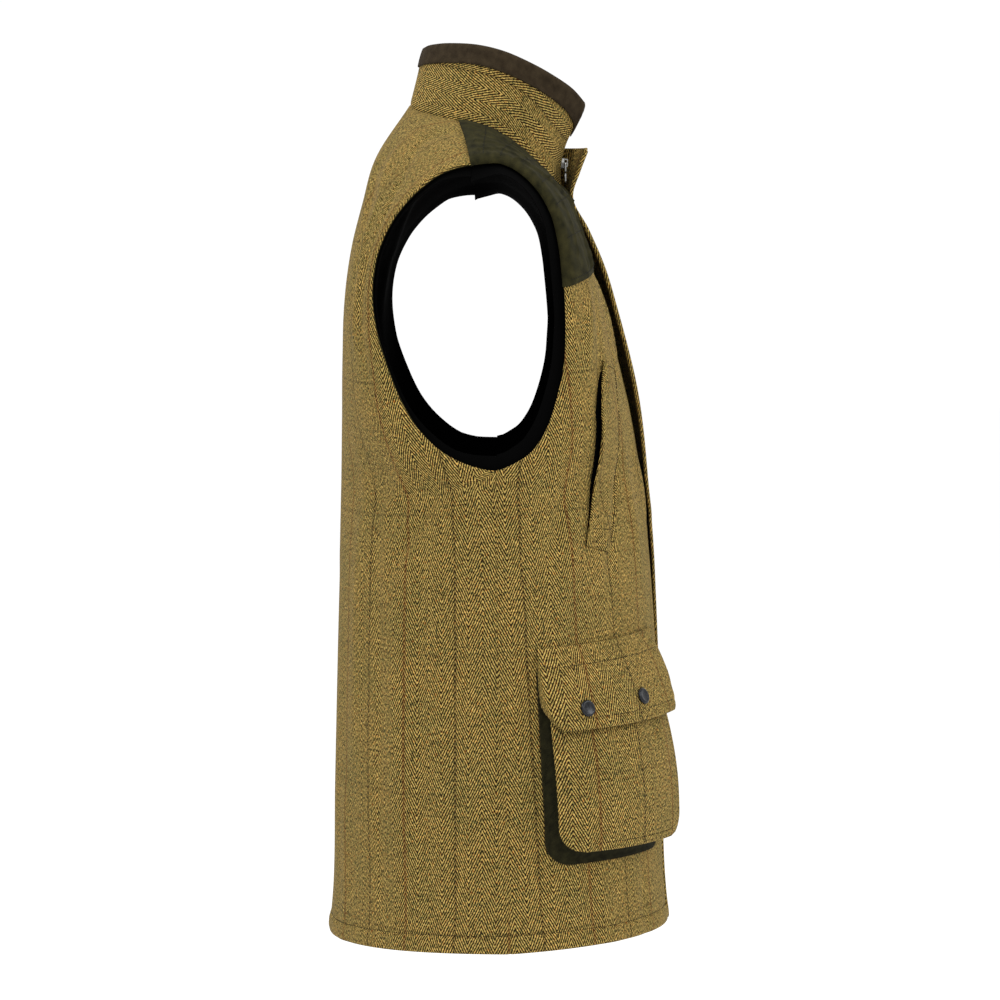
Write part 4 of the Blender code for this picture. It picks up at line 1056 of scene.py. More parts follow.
def makeStormFlap():
    table = np.array(stormFlap["rows"], float) * mm
    heights = np.linspace(-24, -729, 220) * mm
    row = through(-table[:, 0], table[:, 1:3], -heights)
    across = np.linspace(0, 1, 26)
    x = stormFlap["attached"] + (stormFlap["free"] - stormFlap["attached"]) * across
    stand = 1 - (1 - across) ** 2.2
    points = np.empty((len(heights), len(across), 3))
    points[:, :, 0] = x
    points[:, :, 1] = row[:, 0:1] - 0.3 * mm - stormFlap["thick"] - row[:, 1:2] * stand
    # near its top the flap's sewn side follows the neck's curve back
    wrap = np.interp(-heights, *(np.array(stormFlap["wrap"]).T * mm))
    points[:, :, 1] += wrap[:, None] * np.clip(x / stormFlap["attached"], 0, 1) ** 1.6
    points[:, :, 2] = heights[:, None]
    # lower down it lies on the curve of the fronts
    spot = np.meshgrid(np.clip(np.abs(x) - 6 * mm, 0, None), heights)
    lower = heights < -0.10
    surface, centre = (spotGrid(a * spot[0][lower], spot[1][lower])[0][:, :, 1] for a in (1, 0))
    points[lower, :, 1] += (surface - centre) * np.clip(1 - row[lower, 1:2] / (4.5 * mm), 0, 1)
    edgeIn = (x - stormFlap["free"])[None, :]
    down = (heights[0] - heights)[:, None]
    corner = stormFlap["corner"]
    # the top corner is rounded: rows near the top stop short of the free edge
    cut = corner - np.sqrt(np.clip(corner**2 - np.clip(corner - down, 0, None) ** 2, 0, None))
    share = np.clip(1 - edgeIn / (20 * mm), 0, 1)
    points[:, :, 0] += cut * share
    points[:, :, 1] += 0.9 * cut * share
    points[:, :, 2] -= 2.2 * mm * stand[None, :] * np.clip(1 - down / (30 * mm), 0, 1)
    stitch = -0.45 * mm * bell(edgeIn - 7 * mm, 1.3 * mm)
    ripple = 0.5 * mm * np.sin(heights[:, None] / (23 * mm)) * share * np.clip(row[:, 1:2] / (3 * mm), 0, 1)
    points[:, :, 1] -= stitch + ripple
    alongWay = np.gradient(points, axis=1)
    upWay = -np.gradient(points, axis=0)
    facing = unit(np.cross(alongWay, upWay))
    facing *= -np.sign(facing[:, :, 1:2])
    bead = np.exp(-((edgeIn / stormFlap["turned"]) ** 4)) * np.clip(row[:, 1:2] / (7 * mm), 0, 1)
    thick = [stormFlap["thick"] + 1.5 * mm * bead]
    sheet = (points, facing, placeGrid(x[None, :], heights[:, None]))
    clothShell("storm_flap_cloth", [sheet], thick, "tweed", "storm_flap")


makeStormFlap()

# Dark green shoulder patch, in lines of the front panel's table grid, with its quilting.
patch = {
    "foot": 14.9,
    "slope": 0.45,
    "edge": (
        (14.9, 5.2), (15.25, 4.3), (15.6, 3.3), (16.0, 2.3),
        (16.5, 1.2), (17.0, 0.45), (17.6, 0.2), (22.0, 0.2),
    ),
    "steps": (1, 2, 2, 1, 1) + (1,) * 15,  # grid lines from one table row to the next
    "columns": 12,
    "lift": 0.95 * mm,
    "thick": 1.2 * mm,
    "quilt": 14 * mm,
    "turned": ((1.4, 0.9, 1.2, 2.2), (2.1, -0.6, 0.2, 4.0), (1.9, -2.4, 0.05, 5.8)),
    # start across and up the patch (0 to 1), end across and up, half width in mm, rise in mm
    "creases": (
        (0.98, 0.64, 0.72, 0.45, 1.5, 2.3),
        (0.72, 0.45, 0.47, 0.27, 1.4, 2.6),
        (0.47, 0.27, 0.25, 0.03, 1.4, 2.4),
        (0.62, 0.44, 0.36, 0.25, 2.4, -1.8),
        (0.06, 0.34, 0.05, 0.03, 1.3, 1.7),
        (0.16, 0.40, 0.15, 0.10, 1.6, -1.4),
        (0.86, 0.92, 0.80, 0.62, 1.5, 1.7),
        (0.66, 0.94, 0.62, 0.60, 1.8, 1.6),
        (0.44, 0.90, 0.40, 0.52, 2.0, -1.5),
        (0.28, 0.80, 0.20, 0.45, 1.7, 1.5),
        (0.80, 0.36, 0.72, 0.10, 2.6, 1.2),
        (0.60, 0.16, 0.40, 0.05, 2.4, -1.3),
    ),
}


def makePatches():
    keys = frontPanel["keys"]
    spans = zip(keys[:-1], keys[1:], patch["steps"])
    lines = np.concatenate([np.linspace(a, b, n, endpoint=False) for a, b, n in spans] + [[keys[-1]]])
    last = len(lines) - 1
    up, across = np.meshgrid(np.linspace(0, 1, 110), np.linspace(0, 1, 80), indexing="ij")
    middle = patch["foot"] + (last - patch["foot"]) * up
    start = np.interp(middle, [r for r, c in patch["edge"]], [c for r, c in patch["edge"]])
    column = start + (patch["columns"] - 0.04 - start) * across
    low = patch["foot"] + patch["slope"] * (1 - column / patch["columns"])
    row = low + (last - 0.05 - low) * up
    t = np.interp(row, np.arange(len(lines)), lines)
    points, facing, place = clothAt(frontPanel, (column / patch["columns"]).ravel(), t.ravel())
    grid, out, place = (part.reshape(*up.shape, -1) for part in (points, facing, place))
    upRun = runOf(grid)
    sideRun = runOf(grid, 1)
    upRun = upRun[:, 40:41]
    fromArm = sideRun[:, -1:] - sideRun
    quilted = np.abs(np.sin(math.pi * (upRun + 0.15 * fromArm) / patch["quilt"])) ** 0.5
    rise = 0.8 * mm * (quilted - 1)
    quiltedToo = np.abs(np.sin(math.pi * (fromArm + 3 * mm) / (2.2 * patch["quilt"]))) ** 0.4
    rise = rise + 0.45 * mm * (quiltedToo - 1)
    size = np.array([0.10, 0.16])
    spot = np.stack([across, up], axis=-1) * size
    for startU, startV, endU, endV, half, high in patch["creases"]:
        ends = np.array([[startU, startV], [endU, endV]]) * size
        rise = rise + high * mm * crease(spot, *ends, half * mm)[0]
    edges = np.minimum(np.minimum(sideRun, fromArm), np.minimum(upRun, upRun[-1:] - upRun))
    rise = (rise + 1.25 * mm) * np.clip(edges / (5 * mm), 0, 1) ** 0.5
    rise = rise * np.clip(fromArm / (3 * mm), 0, 1)
    outer = grid + out * (patch["lift"] + patch["thick"] + np.maximum(rise, 0))[:, :, None]
    # at the armhole the patch turns over the tweed's edge
    edge, edgeOut = grid[:, -1], out[:, -1]
    along = unit(np.gradient(edge, axis=0))
    way = edge - grid[:, -3]
    way = unit(way - along * np.sum(way * along, axis=1)[:, None])
    last = place[:, -1:]
    # how far past the edge, how far out from it, how much the turned cloth faces out, place past the edge
    for past, high, lean, further in patch["turned"]:
        ring = edge + way * past * mm + edgeOut * high * mm
        outer = np.concatenate([outer, ring[:, None]], axis=1)
        out = np.concatenate([out, unit(lean * edgeOut + way)[:, None]], axis=1)
        place = np.concatenate([place, last + np.array([further * mm, 0.0])], axis=1)
    onBothSides("shoulder_patch", (outer, out, place), patch["thick"], "moleskinGreen")
    return outer, out


patchGrid = makePatches()

# Hand-warmer welts: rear end and front end of each line on the flat cut, and the rear edge's stand, in mm.
welt = {
    "rows": (
        (133, 520, 103, 513, 0.3),
        (140, 511, 103, 505, 1.2),
        (147.5, 501, 104.5, 497, 2.6),
        (154.5, 488, 107, 485, 4.3),
        (159.5, 475, 109.5, 472, 5.2),
        (162, 459, 112, 457, 5.3),
        (161.2, 442, 113, 441, 4.9),
        (160.4, 427, 113.5, 426, 4.2),
        (161, 412, 115.5, 410, 3.3),
        (164.2, 397, 121, 395, 2.2),
        (170, 382, 129.5, 378, 1.2),
        (174, 372, 136, 366, 0.7),
        (177.3, 361, 143.5, 352, 0.3),
    ),
    "thick": 2.2 * mm,
    "lift": 0.6 * mm,
    "lean": math.radians(14),
    "mouthDeep": 15 * mm,
    "mouthShow": -0.6 * mm,
    "mouthThick": 0.7 * mm,
}


def onCut(places):
    spot = findOnCut(frontPanel, places.reshape(-1, 2))
    return [part.reshape(*places.shape[:2], 3) for part in clothAt(frontPanel, spot[:, 0], spot[:, 1])[:2]]


def makeWelts():
    table = np.array(welt["rows"], float) * mm
    run = np.linspace(table[0, 1], table[-1, 1], 90)
    row = through(-table[:, 1], table, -run)
    across = np.linspace(0, 1, 24)[None, :, None]
    rear, ahead, stand = row[:, None, 0:2], row[:, None, 2:4], row[:, 4:5]
    places = rear * (1 - across) + ahead * across
    grid, out = onCut(places)
    across = across[:, :, 0]
    wide = np.linalg.norm(row[:, 0:2] - row[:, 2:4], axis=1)[:, None]
    fromRear = across * wide
    fromEnd = np.minimum(run[0] - run, run - run[-1])[:, None]
    groove = bell(wide - fromRear - 3.0 * mm, 1.4 * mm) * 0.8 * mm
    groove = groove + bell(fromEnd, 1.6 * mm) * 0.8 * mm
    puff = 0.5 * mm * bell(fromRear - 3 * mm, 3 * mm)
    lift = welt["lift"] + welt["thick"] + stand * (1 - across) ** 1.5 - groove + puff
    grid = grid + out * lift[:, :, None]
    c, s = math.cos(welt["lean"]), math.sin(welt["lean"])
    u, v = places[:, :, 0], places[:, :, 1]
    place = np.stack([u * c - v * s, u * s + v * c], axis=-1)
    onBothSides("hand_pocket_welt", (grid, out, place), welt["thick"], "tweed")

    # a strip of the black lining laid on the front behind the welt's standing edge: partly the pocket's
    # lining, partly painted shade for the slit of its opening
    inner = slice(5, len(run) - 8)
    bow = np.sin(math.pi * np.linspace(0, 1, len(run[inner])))[:, None] ** 0.6
    deep = np.linspace(0, 1, 8)[None, :]
    places = np.repeat(row[inner, None, 0:2], 8, axis=1)
    places[:, :, 0] += welt["mouthShow"] * bow - (welt["mouthDeep"] + 1 * mm) * deep
    slit, slitOut = onCut(places)
    slit = slit + slitOut * (1.0 * mm + 0.4 * mm * np.sin(math.pi * deep)[:, :, None])
    sheet = (slit, slitOut, places)
    onBothSides("hand_pocket_mouth_shade", sheet, welt["mouthThick"], "acetateLining", isNode=False)
    return grid, out


weltGrid = makeWelts()
print("stage: flap, patches and welts made")

# Bellows pocket, in metres from the centre front and in height.
pocket = {
    "rear": 229 * mm,
    "front": 76 * mm,
    "top": -0.484,
    "bottom": -0.643,
    "corner": 22 * mm,
    "stand": (1.0 * mm, 15 * mm, 23 * mm),
    "gussetOut": 8 * mm,
    "gussetDrop": 14 * mm,
    "gussetFold": 6 * mm,
    "gussetThick": 1.1 * mm,
}


def pocketOutline(count, grow, drop):
    rear = pocket["rear"] + grow
    ahead = pocket["front"] - grow
    bottom = pocket["bottom"] - drop
    corner = pocket["corner"]
    turns = np.linspace(0, math.pi / 2, 13)
    quarter = [(corner * (1 - math.cos(a)), corner * (1 - math.sin(a))) for a in turns]
    turnRear = [(rear - a, bottom + b) for a, b in quarter]
    turnFront = [(ahead + a, bottom + b) for a, b in reversed(quarter)]
    corners = np.array([(rear, pocket["top"])] + turnRear + turnFront + [(ahead, pocket["top"])])
    run = runOf(corners)
    at = np.linspace(0, run[-1], count)
    return np.interp(at, run, corners[:, 0]), np.interp(at, run, corners[:, 1])


def pocketStandAt(distance, height):
    down = np.clip((pocket["top"] - height) / (pocket["top"] - pocket["bottom"]), 0, 1)
    ahead = np.clip((pocket["rear"] - distance) / (pocket["rear"] - pocket["front"]), 0, 1)
    least, rear, front = pocket["stand"]
    full = rear + (front - rear) * ahead
    return least + (full - least) * np.sin(np.minimum(down * 1.3, 1) * math.pi / 2)


def makePockets():
    # the face, on an even grid whose sides follow the rounded lower corners
    down = np.linspace(0, 1, 64) ** 0.92
    across = np.linspace(-1, 1, 57)
    height = pocket["top"] + (pocket["bottom"] - pocket["top"]) * down
    above = np.minimum((height - pocket["bottom"]) / pocket["corner"], 1)
    cut = pocket["corner"] * (1 - np.sqrt(1 - (1 - above) ** 2))
    middle = (pocket["rear"] + pocket["front"]) / 2
    half = (pocket["rear"] - pocket["front"]) / 2
    distance = middle - across[None, :] * (half - cut[:, None])
    tall = np.repeat(height[:, None], len(across), axis=1)
    grid, out = spotGrid(distance, tall)
    puff = 2.5 * mm * (1 - across**2)[None, :] * np.sin(math.pi * np.clip(down, 0.02, 0.98))[:, None]
    # distance in from the sewn edge, for the edge's roll and its stitched groove
    fromSide = half - np.abs(distance - middle)
    fromFoot = tall - pocket["bottom"]
    cornerIn = pocket["corner"] - np.hypot(
        np.clip(pocket["corner"] - fromSide, 0, None), np.clip(pocket["corner"] - fromFoot, 0, None)
    )
    isCorner = (fromSide < pocket["corner"]) & (fromFoot < pocket["corner"])
    inside = np.where(isCorner, cornerIn, np.minimum(fromSide, fromFoot))
    roll = -0.9 * mm * bell(inside, 1.8 * mm)
    groove = -0.6 * mm * bell(inside - 6.5 * mm, 1.4 * mm)
    gathers = 0.9 * mm * np.sin(distance / (7.0 * mm)) * bell(tall + 0.545, 20 * mm)
    gathers = gathers * np.clip(inside / (20 * mm), 0, 1)
    stand = pocketStandAt(distance, tall) + clothThick + puff + roll + groove + gathers
    face = grid + out * stand[:, :, None]
    onBothSides("cargo_pocket_face", (face, out, placeGrid(distance, tall)), clothThick, "tweed")

    count = 120
    attach = frontSpot(*pocketOutline(count, pocket["gussetOut"], pocket["gussetDrop"]))
    fold = frontSpot(*pocketOutline(count, -pocket["gussetFold"], -pocket["gussetFold"]))
    rim = pocketOutline(count, 0.6 * mm, 1.4 * mm)
    edge = frontSpot(*rim)
    thick = pocket["gussetThick"]
    stand = np.maximum(pocketStandAt(*rim) - 0.3 * mm - thick, 2.2 * mm)[:, None]
    out = attach[1]
    side = unit(fold[0] - attach[0])
    foot = attach[0] + out * (0.6 * mm + thick)
    knee = foot + side * 4.0 * mm
    deep = fold[0] + fold[1] * (0.6 * mm + 0.5 * stand)
    tip = edge[0] + edge[1] * stand
    wave = 0.35 * mm * np.sin(np.arange(count) * 0.55)[:, None]
    section = [foot, foot * 0.45 + knee * 0.55 + out * 0.35 * mm, knee - out * 0.1 * mm]
    section += [knee * 0.6 + deep * 0.4 + out * (0.5 * mm + wave), knee * 0.25 + deep * 0.75 + out * 0.2 * mm]
    section += [deep + side * 0.5 * mm, deep * 0.7 + tip * 0.3]
    section += [deep * 0.35 + tip * 0.65 - side * (0.4 * mm + wave), tip]
    grid = np.stack(section, axis=1)
    alongWay = np.gradient(grid, axis=0)
    sideWay = np.gradient(grid, axis=1)
    facing = unit(np.cross(alongWay, sideWay))
    if np.sum(facing[:, 0] * out) < 0:
        facing = -facing
    run = runOf(grid[:, 0])
    over = runOf(grid, 1)
    sheet = (grid, facing, placeGrid(over, run[:, None]))
    # the gusset wears the green moleskin darkened as painted shade
    onBothSides("cargo_pocket_gusset", sheet, thick, "moleskinGreenPaintedShade")
    return grid[6:-6, 0] + out[6:-6] * 0.1 * mm, out[6:-6]


gussetPath = makePockets()

# The pocket's flap, from rear to front: metres from the centre front, height of its top and foot.
lid = {
    "rear": 235 * mm,
    "front": 73 * mm,
    "top": (-0.4645, -0.4580),
    "foot": (-0.5325, -0.5290),
    "corner": 11 * mm,
    "thick": 2.8 * mm,
    "stand": (0.7 * mm, 18.5 * mm, 24 * mm),
    "side": 13 * mm,
    # the side's rings: inwards and rearwards, facing out and back, place past the edge
    "turned": (
        (0.08, 0.05, 0.7, 0.7, 0.1),
        (0.3, 0.1, 0.2, 1.0, 0.35),
        (0.65, 0.16, 0.1, 1.0, 0.7),
        (1.0, 0.2, 0.1, 1.0, 1.0),
    ),
    "stitchUp": 8.5 * mm,
    "stitchDown": 15 * mm,
}


def lidAt(down, across):
    distance = lid["rear"] + (lid["front"] - lid["rear"]) * across
    distance = distance - (1 - 2 * across) * lid["corner"] * np.clip((down - 0.5) / 0.5, 0, 1) ** 2
    top = lid["top"][0] + (lid["top"][1] - lid["top"][0]) * across
    low = lid["foot"][0] + (lid["foot"][1] - lid["foot"][0]) * across
    height = top + (low - top) * down
    points, out = spotGrid(distance, height)
    least, rear, front = lid["stand"]
    full = rear + (front - rear) * across
    stand = least + (full - least) * np.clip((down - 0.10) / 0.90, 0, 1) ** 0.75
    stand = stand + 1.5 * mm * np.sin(math.pi * across) * down
    tall = top - low
    fromFoot = (1 - down) * tall
    fromTop = down * tall
    fromSide = np.minimum(distance - lid["front"] - 3 * mm * down, lid["rear"] - 8 * mm * down**2 - distance)
    rise = -0.5 * mm * bell(fromFoot - lid["stitchUp"], 1.3 * mm)
    rise = rise - 0.5 * mm * bell(fromTop - lid["stitchDown"], 1.3 * mm)
    rise = rise - 0.9 * mm * bell(fromFoot, 1.5 * mm)
    rise = rise - 0.8 * mm * bell(fromSide, 1.5 * mm)
    rise = rise + 0.5 * mm * np.sin(distance / (11 * mm)) * bell(fromFoot - 20 * mm, 18 * mm)
    points = points + out * (stand + lid["thick"] + rise)[:, :, None]
    return points, out, placeGrid(distance, height)


def makeLids():
    down, across = np.meshgrid(np.linspace(0, 1, 46), np.linspace(0, 1, 74), indexing="ij")
    grid, out, place = lidAt(down, across)
    # its rear side turns in towards the body
    fall = down[:, 0]
    least, rear = lid["stand"][:2]
    stand = least + (rear - least) * np.clip((fall - 0.10) / 0.90, 0, 1) ** 0.75
    deep = lid["side"] * np.sin(math.pi * np.clip((fall - 0.06) / 0.94, 0, 1)) ** 0.8
    deep = np.minimum(deep, 0.8 * stand)[:, None]
    back = unit(grid[:, 0] - grid[:, 2])
    edge, edgeOut, last = grid[:, 0], out[:, 0], place[:, 0]
    for inwards, rearwards, faceOut, faceBack, further in lid["turned"]:
        ring = edge - edgeOut * deep * inwards + back * (0.8 * mm + deep * rearwards)
        beyond = last + np.concatenate([0.8 * mm + deep * further, 0 * deep], axis=1)
        grid = np.concatenate([ring[:, None], grid], axis=1)
        out = np.concatenate([unit(edgeOut * faceOut + back * faceBack)[:, None], out], axis=1)
        place = np.concatenate([beyond[:, None], place], axis=1)
    onBothSides("cargo_pocket_flap", (grid, out, place), lid["thick"], "tweed")


makeLids()
print("stage: pockets made")

# Press studs: a turned cap, its rim rolled and its middle a little dished. Radius and height in mm.
studs = {
    "places": ((204, -0.5150), (138, -0.5110)),
    "profile": (
        (0.0, 1.9), (2.2, 1.95), (3.9, 2.15), (4.9, 2.45), (5.6, 2.6), (6.3, 2.45),
        (6.9, 2.0), (7.3, 1.3), (7.45, 0.7), (7.3, 0.2), (6.6, 0.02),
    ),
    "around": 48,
}


def makeStuds():
    profile = np.array(studs["profile"]) * mm
    around = studs["around"]
    number = 0
    for side, flip in sides:
        for distance, height in studs["places"]:
            number += 1
            a = (lid["rear"] - distance * mm) / (lid["rear"] - lid["front"])
            top = lid["top"][0] + (lid["top"][1] - lid["top"][0]) * a
            low = lid["foot"][0] + (lid["foot"][1] - lid["foot"][0]) * a
            d = (height - top) / (low - top)
            down, across = np.meshgrid((d - 0.05, d + 0.05), (a - 0.03, a + 0.03), indexing="ij")
            near, facing = lidAt(down, across)[:2]
            downWay = near[1].mean(axis=0) - near[0].mean(axis=0)
            sideWay = near[:, 1].mean(axis=0) - near[:, 0].mean(axis=0)
            axis = unit(np.cross(downWay, sideWay))
            axis = axis if axis @ facing[0, 0] > 0 else -axis
            sideways = unit(sideWay)
            third = np.cross(axis, sideways)
            seat = near.mean(axis=(0, 1)) + axis * 0.5 * mm
            turns = 2 * math.pi * np.arange(around) / around
            spokes = np.cos(turns)[:, None] * sideways + np.sin(turns)[:, None] * third
            verts = [seat + axis * profile[0, 1]]
            for r, h in profile[1:]:
                verts += list(seat + axis * h + spokes * r)
            faces = [(0, 1 + k, 1 + (k + 1) % around) for k in range(around)]
            rings = 1 + np.arange((len(profile) - 1) * around).reshape(-1, around)
            rings = np.concatenate([rings, rings[:, :1]], axis=1)
            faces += [(a, d, c, b) for a, b, c, d in quadsOf(rings).tolist()]
            faces.append(tuple(rings[-1, :-1][::-1].tolist()))
            verts = flipped(np.array(verts), flip)
            if side == "left":
                faces = [tuple(reversed(f)) for f in faces]
            name = "press_stud_" + str(number)
            piece = meshPiece(name + "_cap", verts, faces, verts[:, :2], "gunmetalPlate")
            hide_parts(name)


makeStuds()

# Zip tapes inside the front edges, up the collar's ends, and their teeth.
zipFastener = {
    "tapeThick": 0.8 * mm,
    "pitch": 2.6 * mm,
    "tooth": (3.2, 1.3, 2.0),
    # the tape's five lines across, from the cloth's edge, on the front and on the collar
    "below": (-4.8, -2.0, 0.8, 3.0, 5.0),
    "above": (-4.0, -1.6, 1.0, 3.4, 6.0),
}


def makeTapes():
    keys = frontPanel["keys"]
    neck = frontPanel["neckRow"]
    rows = np.linspace(6 * mm, keys[neck] - 9 * mm, 150)
    start, startOut = clothAt(frontPanel, rows * 0, rows)[:2]
    far = clothAt(frontPanel, rows * 0 + 0.32 / 12, rows)[0]
    way = unit(far - start)
    nearNeck = np.clip((rows - keys[neck - 1]) / (keys[neck] - keys[neck - 1]), 0, 1) ** 2
    seat = start - startOut * (clothThick + 0.3 * mm + 1.3 * mm * nearNeck)[:, None]
    lower = np.stack([seat + way * share * mm for share in zipFastener["below"]], axis=1)
    lowerOut = np.repeat(startOut[:, None], 5, axis=1)
    grid, out = [], []
    for v in np.linspace(0.06, 0.9, 16):
        level = np.full(3, v)
        ends = collarAt(np.array([0.0, 0.06, 0.12]), level)
        facing = collarFacing(np.array([0.0, 0.06, 0.12]), level)[0]
        way = unit(ends[1] - ends[0])
        under = 0.9 * mm if v < 0.6 else binding["gap"] + binding["thick"] + 0.4 * mm
        base = ends[0] - facing * (collar["thick"] + under)
        grid.append([base + way * share * mm for share in zipFastener["above"]])
        out.append([facing] * 5)
    points = np.concatenate([lower, np.array(grid)])
    facing = np.concatenate([lowerOut, np.array(out)])
    place = placeGrid(np.arange(5)[None, :] * 2.5 * mm, runOf(points[:, 0])[:, None])
    onBothSides("zip_tape", (points, facing, place), zipFastener["tapeThick"], "tapeCloth")
    return points, facing


def makeTeeth(tapes):
    points, facing = tapes
    edge = points[:, 0]
    run = runOf(edge)
    count = int(run[-1] / zipFastener["pitch"])
    wide, tall, deep = (v * mm for v in zipFastener["tooth"])
    for side, flip in sides:
        shift = 0.25 if side == "right" else 0.75
        at = (np.arange(count) + shift) * zipFastener["pitch"]
        seat = pointsAt(at, run, edge)
        out = unit(pointsAt(at, run, facing[:, 0]))
        up = unit(pointsAt(at + mm, run, edge) - seat)
        inward = unit(np.cross(up, out))
        inward *= np.sign(inward[:, :1])
        verts, faces = [], []
        for k in range(count):
            base = seat[k] - out[k] * 0.4 * mm
            corners = []
            for x in (-0.45 * wide, 0.55 * wide):
                for z in (-0.5 * tall, 0.5 * tall):
                    for y in (-0.5 * deep, 0.5 * deep):
                        pinch = 0.7 if x > 0 else 1.0
                        corners.append(base + inward[k] * x + up[k] * z * pinch + out[k] * y * pinch)
            first = len(verts)
            verts += corners
            for quad in ((0, 1, 3, 2), (4, 6, 7, 5), (0, 4, 5, 1), (2, 3, 7, 6), (0, 2, 6, 4), (1, 5, 7, 3)):
                faces.append(tuple(first + q for q in quad))
        verts = flipped(np.array(verts), flip)
        piece = meshPiece("zip_teeth_" + side, verts, faces, verts[:, [0, 2]], "nickelPlate")
        piece.data.polygons.foreach_set("use_smooth", [False] * len(piece.data.polygons))


makeTeeth(makeTapes())
for node in ("zip_slider", "zip_pull"):
    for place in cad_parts[node].material_slots:
        place.material = materials["nickelPlate"]
print("stage: zip and studs made")

# Topstitching: lengths of thread that lie in the grooves.
stitch = {
    "length": 2.9 * mm,
    "pitch": 3.6 * mm,
    "radius": 0.32 * mm,
    # place along the stitch as a share of its length, thickness and rise as shares of the radius
    "sections": (
        (-0.5, 0.25, -0.25), (-0.32, 1.0, 0.15), (0.0, 1.1, 0.3), (0.32, 1.0, 0.15), (0.5, 0.25, -0.25),
    ),
}


def stitchesAlong(path, out):
    run = runOf(path)
    count = int(run[-1] / stitch["pitch"])
    at = (np.arange(count) + 0.5) * stitch["pitch"]
    verts, faces = [], []
    sections = stitch["sections"]
    for middle in at:
        places = [middle + share * stitch["length"] for share, wide, up in sections]
        centre = pointsAt(places, run, path)
        facing = unit(pointsAt(places, run, out))
        way = unit(centre[-1] - centre[0])
        sideWay = unit(np.cross(facing, way))
        first = len(verts)
        for k, (share, wide, up) in enumerate(sections):
            base = centre[k] + facing[k] * stitch["radius"] * up
            for turn in range(6):
                angle = math.pi * turn / 3
                spoke = sideWay[k] * math.cos(angle) + facing[k] * math.sin(angle)
                verts.append(base + spoke * stitch["radius"] * wide)
        for k in range(len(sections) - 1):
            for turn in range(6):
                n = (turn + 1) % 6
                a = first + k * 6
                faces.append((a + turn, a + n, a + 6 + n, a + 6 + turn))
        faces.append(tuple(first + t for t in reversed(range(6))))
        faces.append(tuple(first + 24 + t for t in range(6)))
    return verts, faces


def stitchPiece(name, paths, thread="oliveThread"):
    verts, faces = [], []
    for path, out in paths:
        v, f = stitchesAlong(path, out)
        faces += [tuple(i + len(verts) for i in face) for face in f]
        verts += v
    verts = np.array(verts)
    for side, flip in sides:
        turned = flipped(verts, flip)
        wound = [tuple(reversed(face)) for face in faces] if side == "left" else faces
        meshPiece(name + "_" + side, turned, wound, turned[:, :2], thread)


# a path raised off its cloth by so many mm, with its outward directions
def raised(points, out, by=0.1):
    return points + out * by * mm, out


def hemPath(panel):
    s = np.linspace(0.03 if panel is frontPanel else 0.0, 0.995, 200)
    return raised(*clothAt(panel, s, np.full(200, hemBand))[:2], 0.05)


# lines of the welt's grid, and of the patch's: rows of quilting and the front edge
def weltLine(*chosen):
    return raised(*(part[chosen] for part in weltGrid))


def patchPaths():
    rows = [(row, slice(3, -4)) for row in (2, 18, 33, 49, 64, 80, 96)]
    return [raised(*(part[chosen] for part in patchGrid), 0.05) for chosen in rows + [(slice(3, -3), 2)]]


def lidPath(fromFoot, fromTop):
    across = np.linspace(0.03, 0.97, 90)
    tall = lid["top"][0] - lid["foot"][0]
    down = 1 - fromFoot / tall if fromFoot else fromTop / tall
    points, out = lidAt(np.full((1, 90), down), across[None, :])[:2]
    return raised(points[0], out[0])


def facePath():
    # along the face's groove, 6.5 mm inside its edge
    outline = pocketOutline(160, -6.5 * mm, -6.5 * mm)
    keep = outline[1] < pocket["top"] - 20 * mm
    distance, height = outline[0][keep], outline[1][keep]
    points, out = frontSpot(distance, height)
    stand = pocketStandAt(distance, height) + clothThick - 0.45 * mm
    middle = (pocket["rear"] + pocket["front"]) / 2
    half = (pocket["rear"] - pocket["front"]) / 2
    across = np.clip((distance - middle) / half, -1, 1)
    down = (pocket["top"] - height) / (pocket["top"] - pocket["bottom"])
    stand = stand + 2.5 * mm * (1 - across**2) * np.sin(math.pi * np.clip(down, 0.02, 0.98))
    return points + out * stand[:, None], out


stitchPiece("hem_stitching_front", [hemPath(frontPanel)])
stitchPiece("hem_stitching_back", [hemPath(backPanel)])
weltEnds = [weltLine(row, slice(2, -2)) for row in (2, -3, -9)]
stitchPiece("welt_stitching", [weltLine(slice(2, -2), 22)] + weltEnds)
stitchPiece("pocket_flap_stitching", [lidPath(lid["stitchUp"], 0), lidPath(0, lid["stitchDown"])])
stitchPiece("pocket_face_stitching", [facePath()])
stitchPiece("patch_stitching", patchPaths(), "greenThread")
stitchPiece("gusset_stitching", [gussetPath])
print("stage: stitching made")

# Camera at the photo's angle: from the vest's right, a little above its middle.
camera = {"place": (-2.8, 0.0, -0.176), "pitch": 86.5, "lens": 109.5, "sensor": 36.0}
data = bpy.data.cameras.new("photoView")
data.lens = camera["lens"]
data.sensor_width = camera["sensor"]
eye = bpy.data.objects.new("photoView", data)
eye.location = camera["place"]
eye.rotation_euler = (math.radians(camera["pitch"]), 0, math.radians(-90))
bpy.context.scene.collection.objects.link(eye)
bpy.context.scene.camera = eye

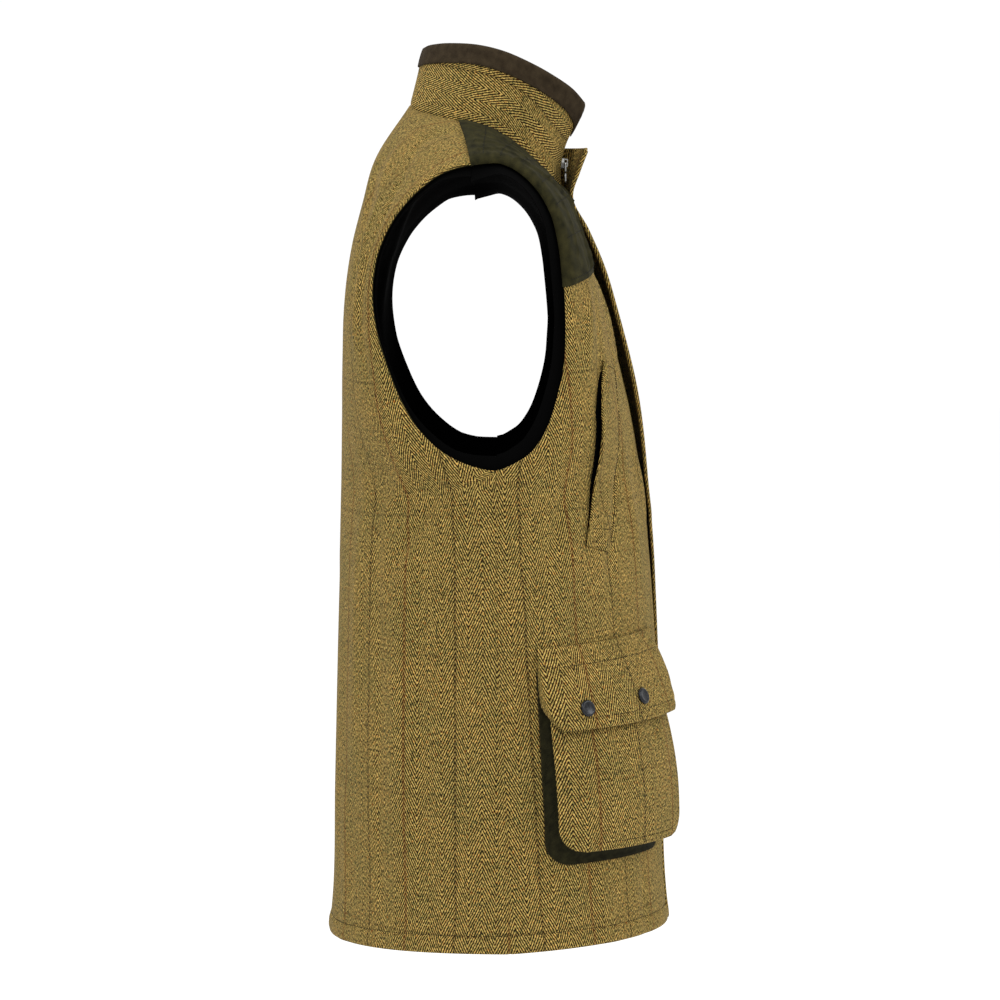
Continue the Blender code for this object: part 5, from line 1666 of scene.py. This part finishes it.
# A pale floor well below, and soft white light from all round.
studio = {
    "floorDown": -1.45,
    "floorSize": 80.0,
    "floor": "#FFFFFF",
    "world": 1.02,
    "lights": (
        # name, place, aimed at, size, watts
        ("rearSoftbox", (-1.2, 2.0, 1.9), (0, 0.05, -0.25), 0.8, 40),
        ("nearSoftbox", (-3.0, -1.0, 1.3), (0, 0, -0.4), 1.2, 24),
        ("topSoftbox", (0.0, 0.3, 2.6), (0, 0, -0.2), 1.2, 22),
        ("frontSoftbox", (-0.7, -2.5, 1.2), (0, 0, -0.4), 1.2, 34),
    ),
}


def makeStudio():
    half = studio["floorSize"] / 2
    mesh = bpy.data.meshes.new("floor")
    count = 12
    grid = np.linspace(-half, half, count + 1)
    verts = [(x, y, studio["floorDown"]) for y in grid for x in grid]
    ids = np.arange(len(verts)).reshape(count + 1, count + 1)
    mesh.from_pydata(verts, [], quadsOf(ids).tolist())
    floor = bpy.data.objects.new("studioFloor", mesh)
    bpy.context.scene.collection.objects.link(floor)
    made, tree, shader, inMm = startMaterial("paperFloor", False)
    looks = {"Normal": bumpNode(tree, 0.05, 0.2, noiseNode(tree, inMm, 0.9, 2.0)), "Roughness": 1.0}
    feed(tree, shader, looks | {"Base Color": fromHex(studio["floor"]), "Specular IOR Level": 0.0})
    mesh.materials.append(made)
    world = bpy.data.worlds.new("studioWorld")
    world.use_nodes = True
    backdrop = {"Color": (1, 1, 1, 1), "Strength": studio["world"]}
    feed(world.node_tree, world.node_tree.nodes["Background"], backdrop)
    bpy.context.scene.world = world
    for name, place, target, size, watts in studio["lights"]:
        lamp = bpy.data.lights.new(name, "AREA")
        lamp.size = size
        lamp.energy = watts
        thing = bpy.data.objects.new(name, lamp)
        thing.location = place
        way = np.array(target) - np.array(place)
        flatRun = math.hypot(way[0], way[1])
        thing.rotation_euler = (math.atan2(flatRun, -way[2]), 0, math.atan2(way[0], -way[1]) + math.pi)
        bpy.context.scene.collection.objects.link(thing)


makeStudio()
bpy.context.scene.view_settings.view_transform = "Standard"
print("stage: camera and light set")
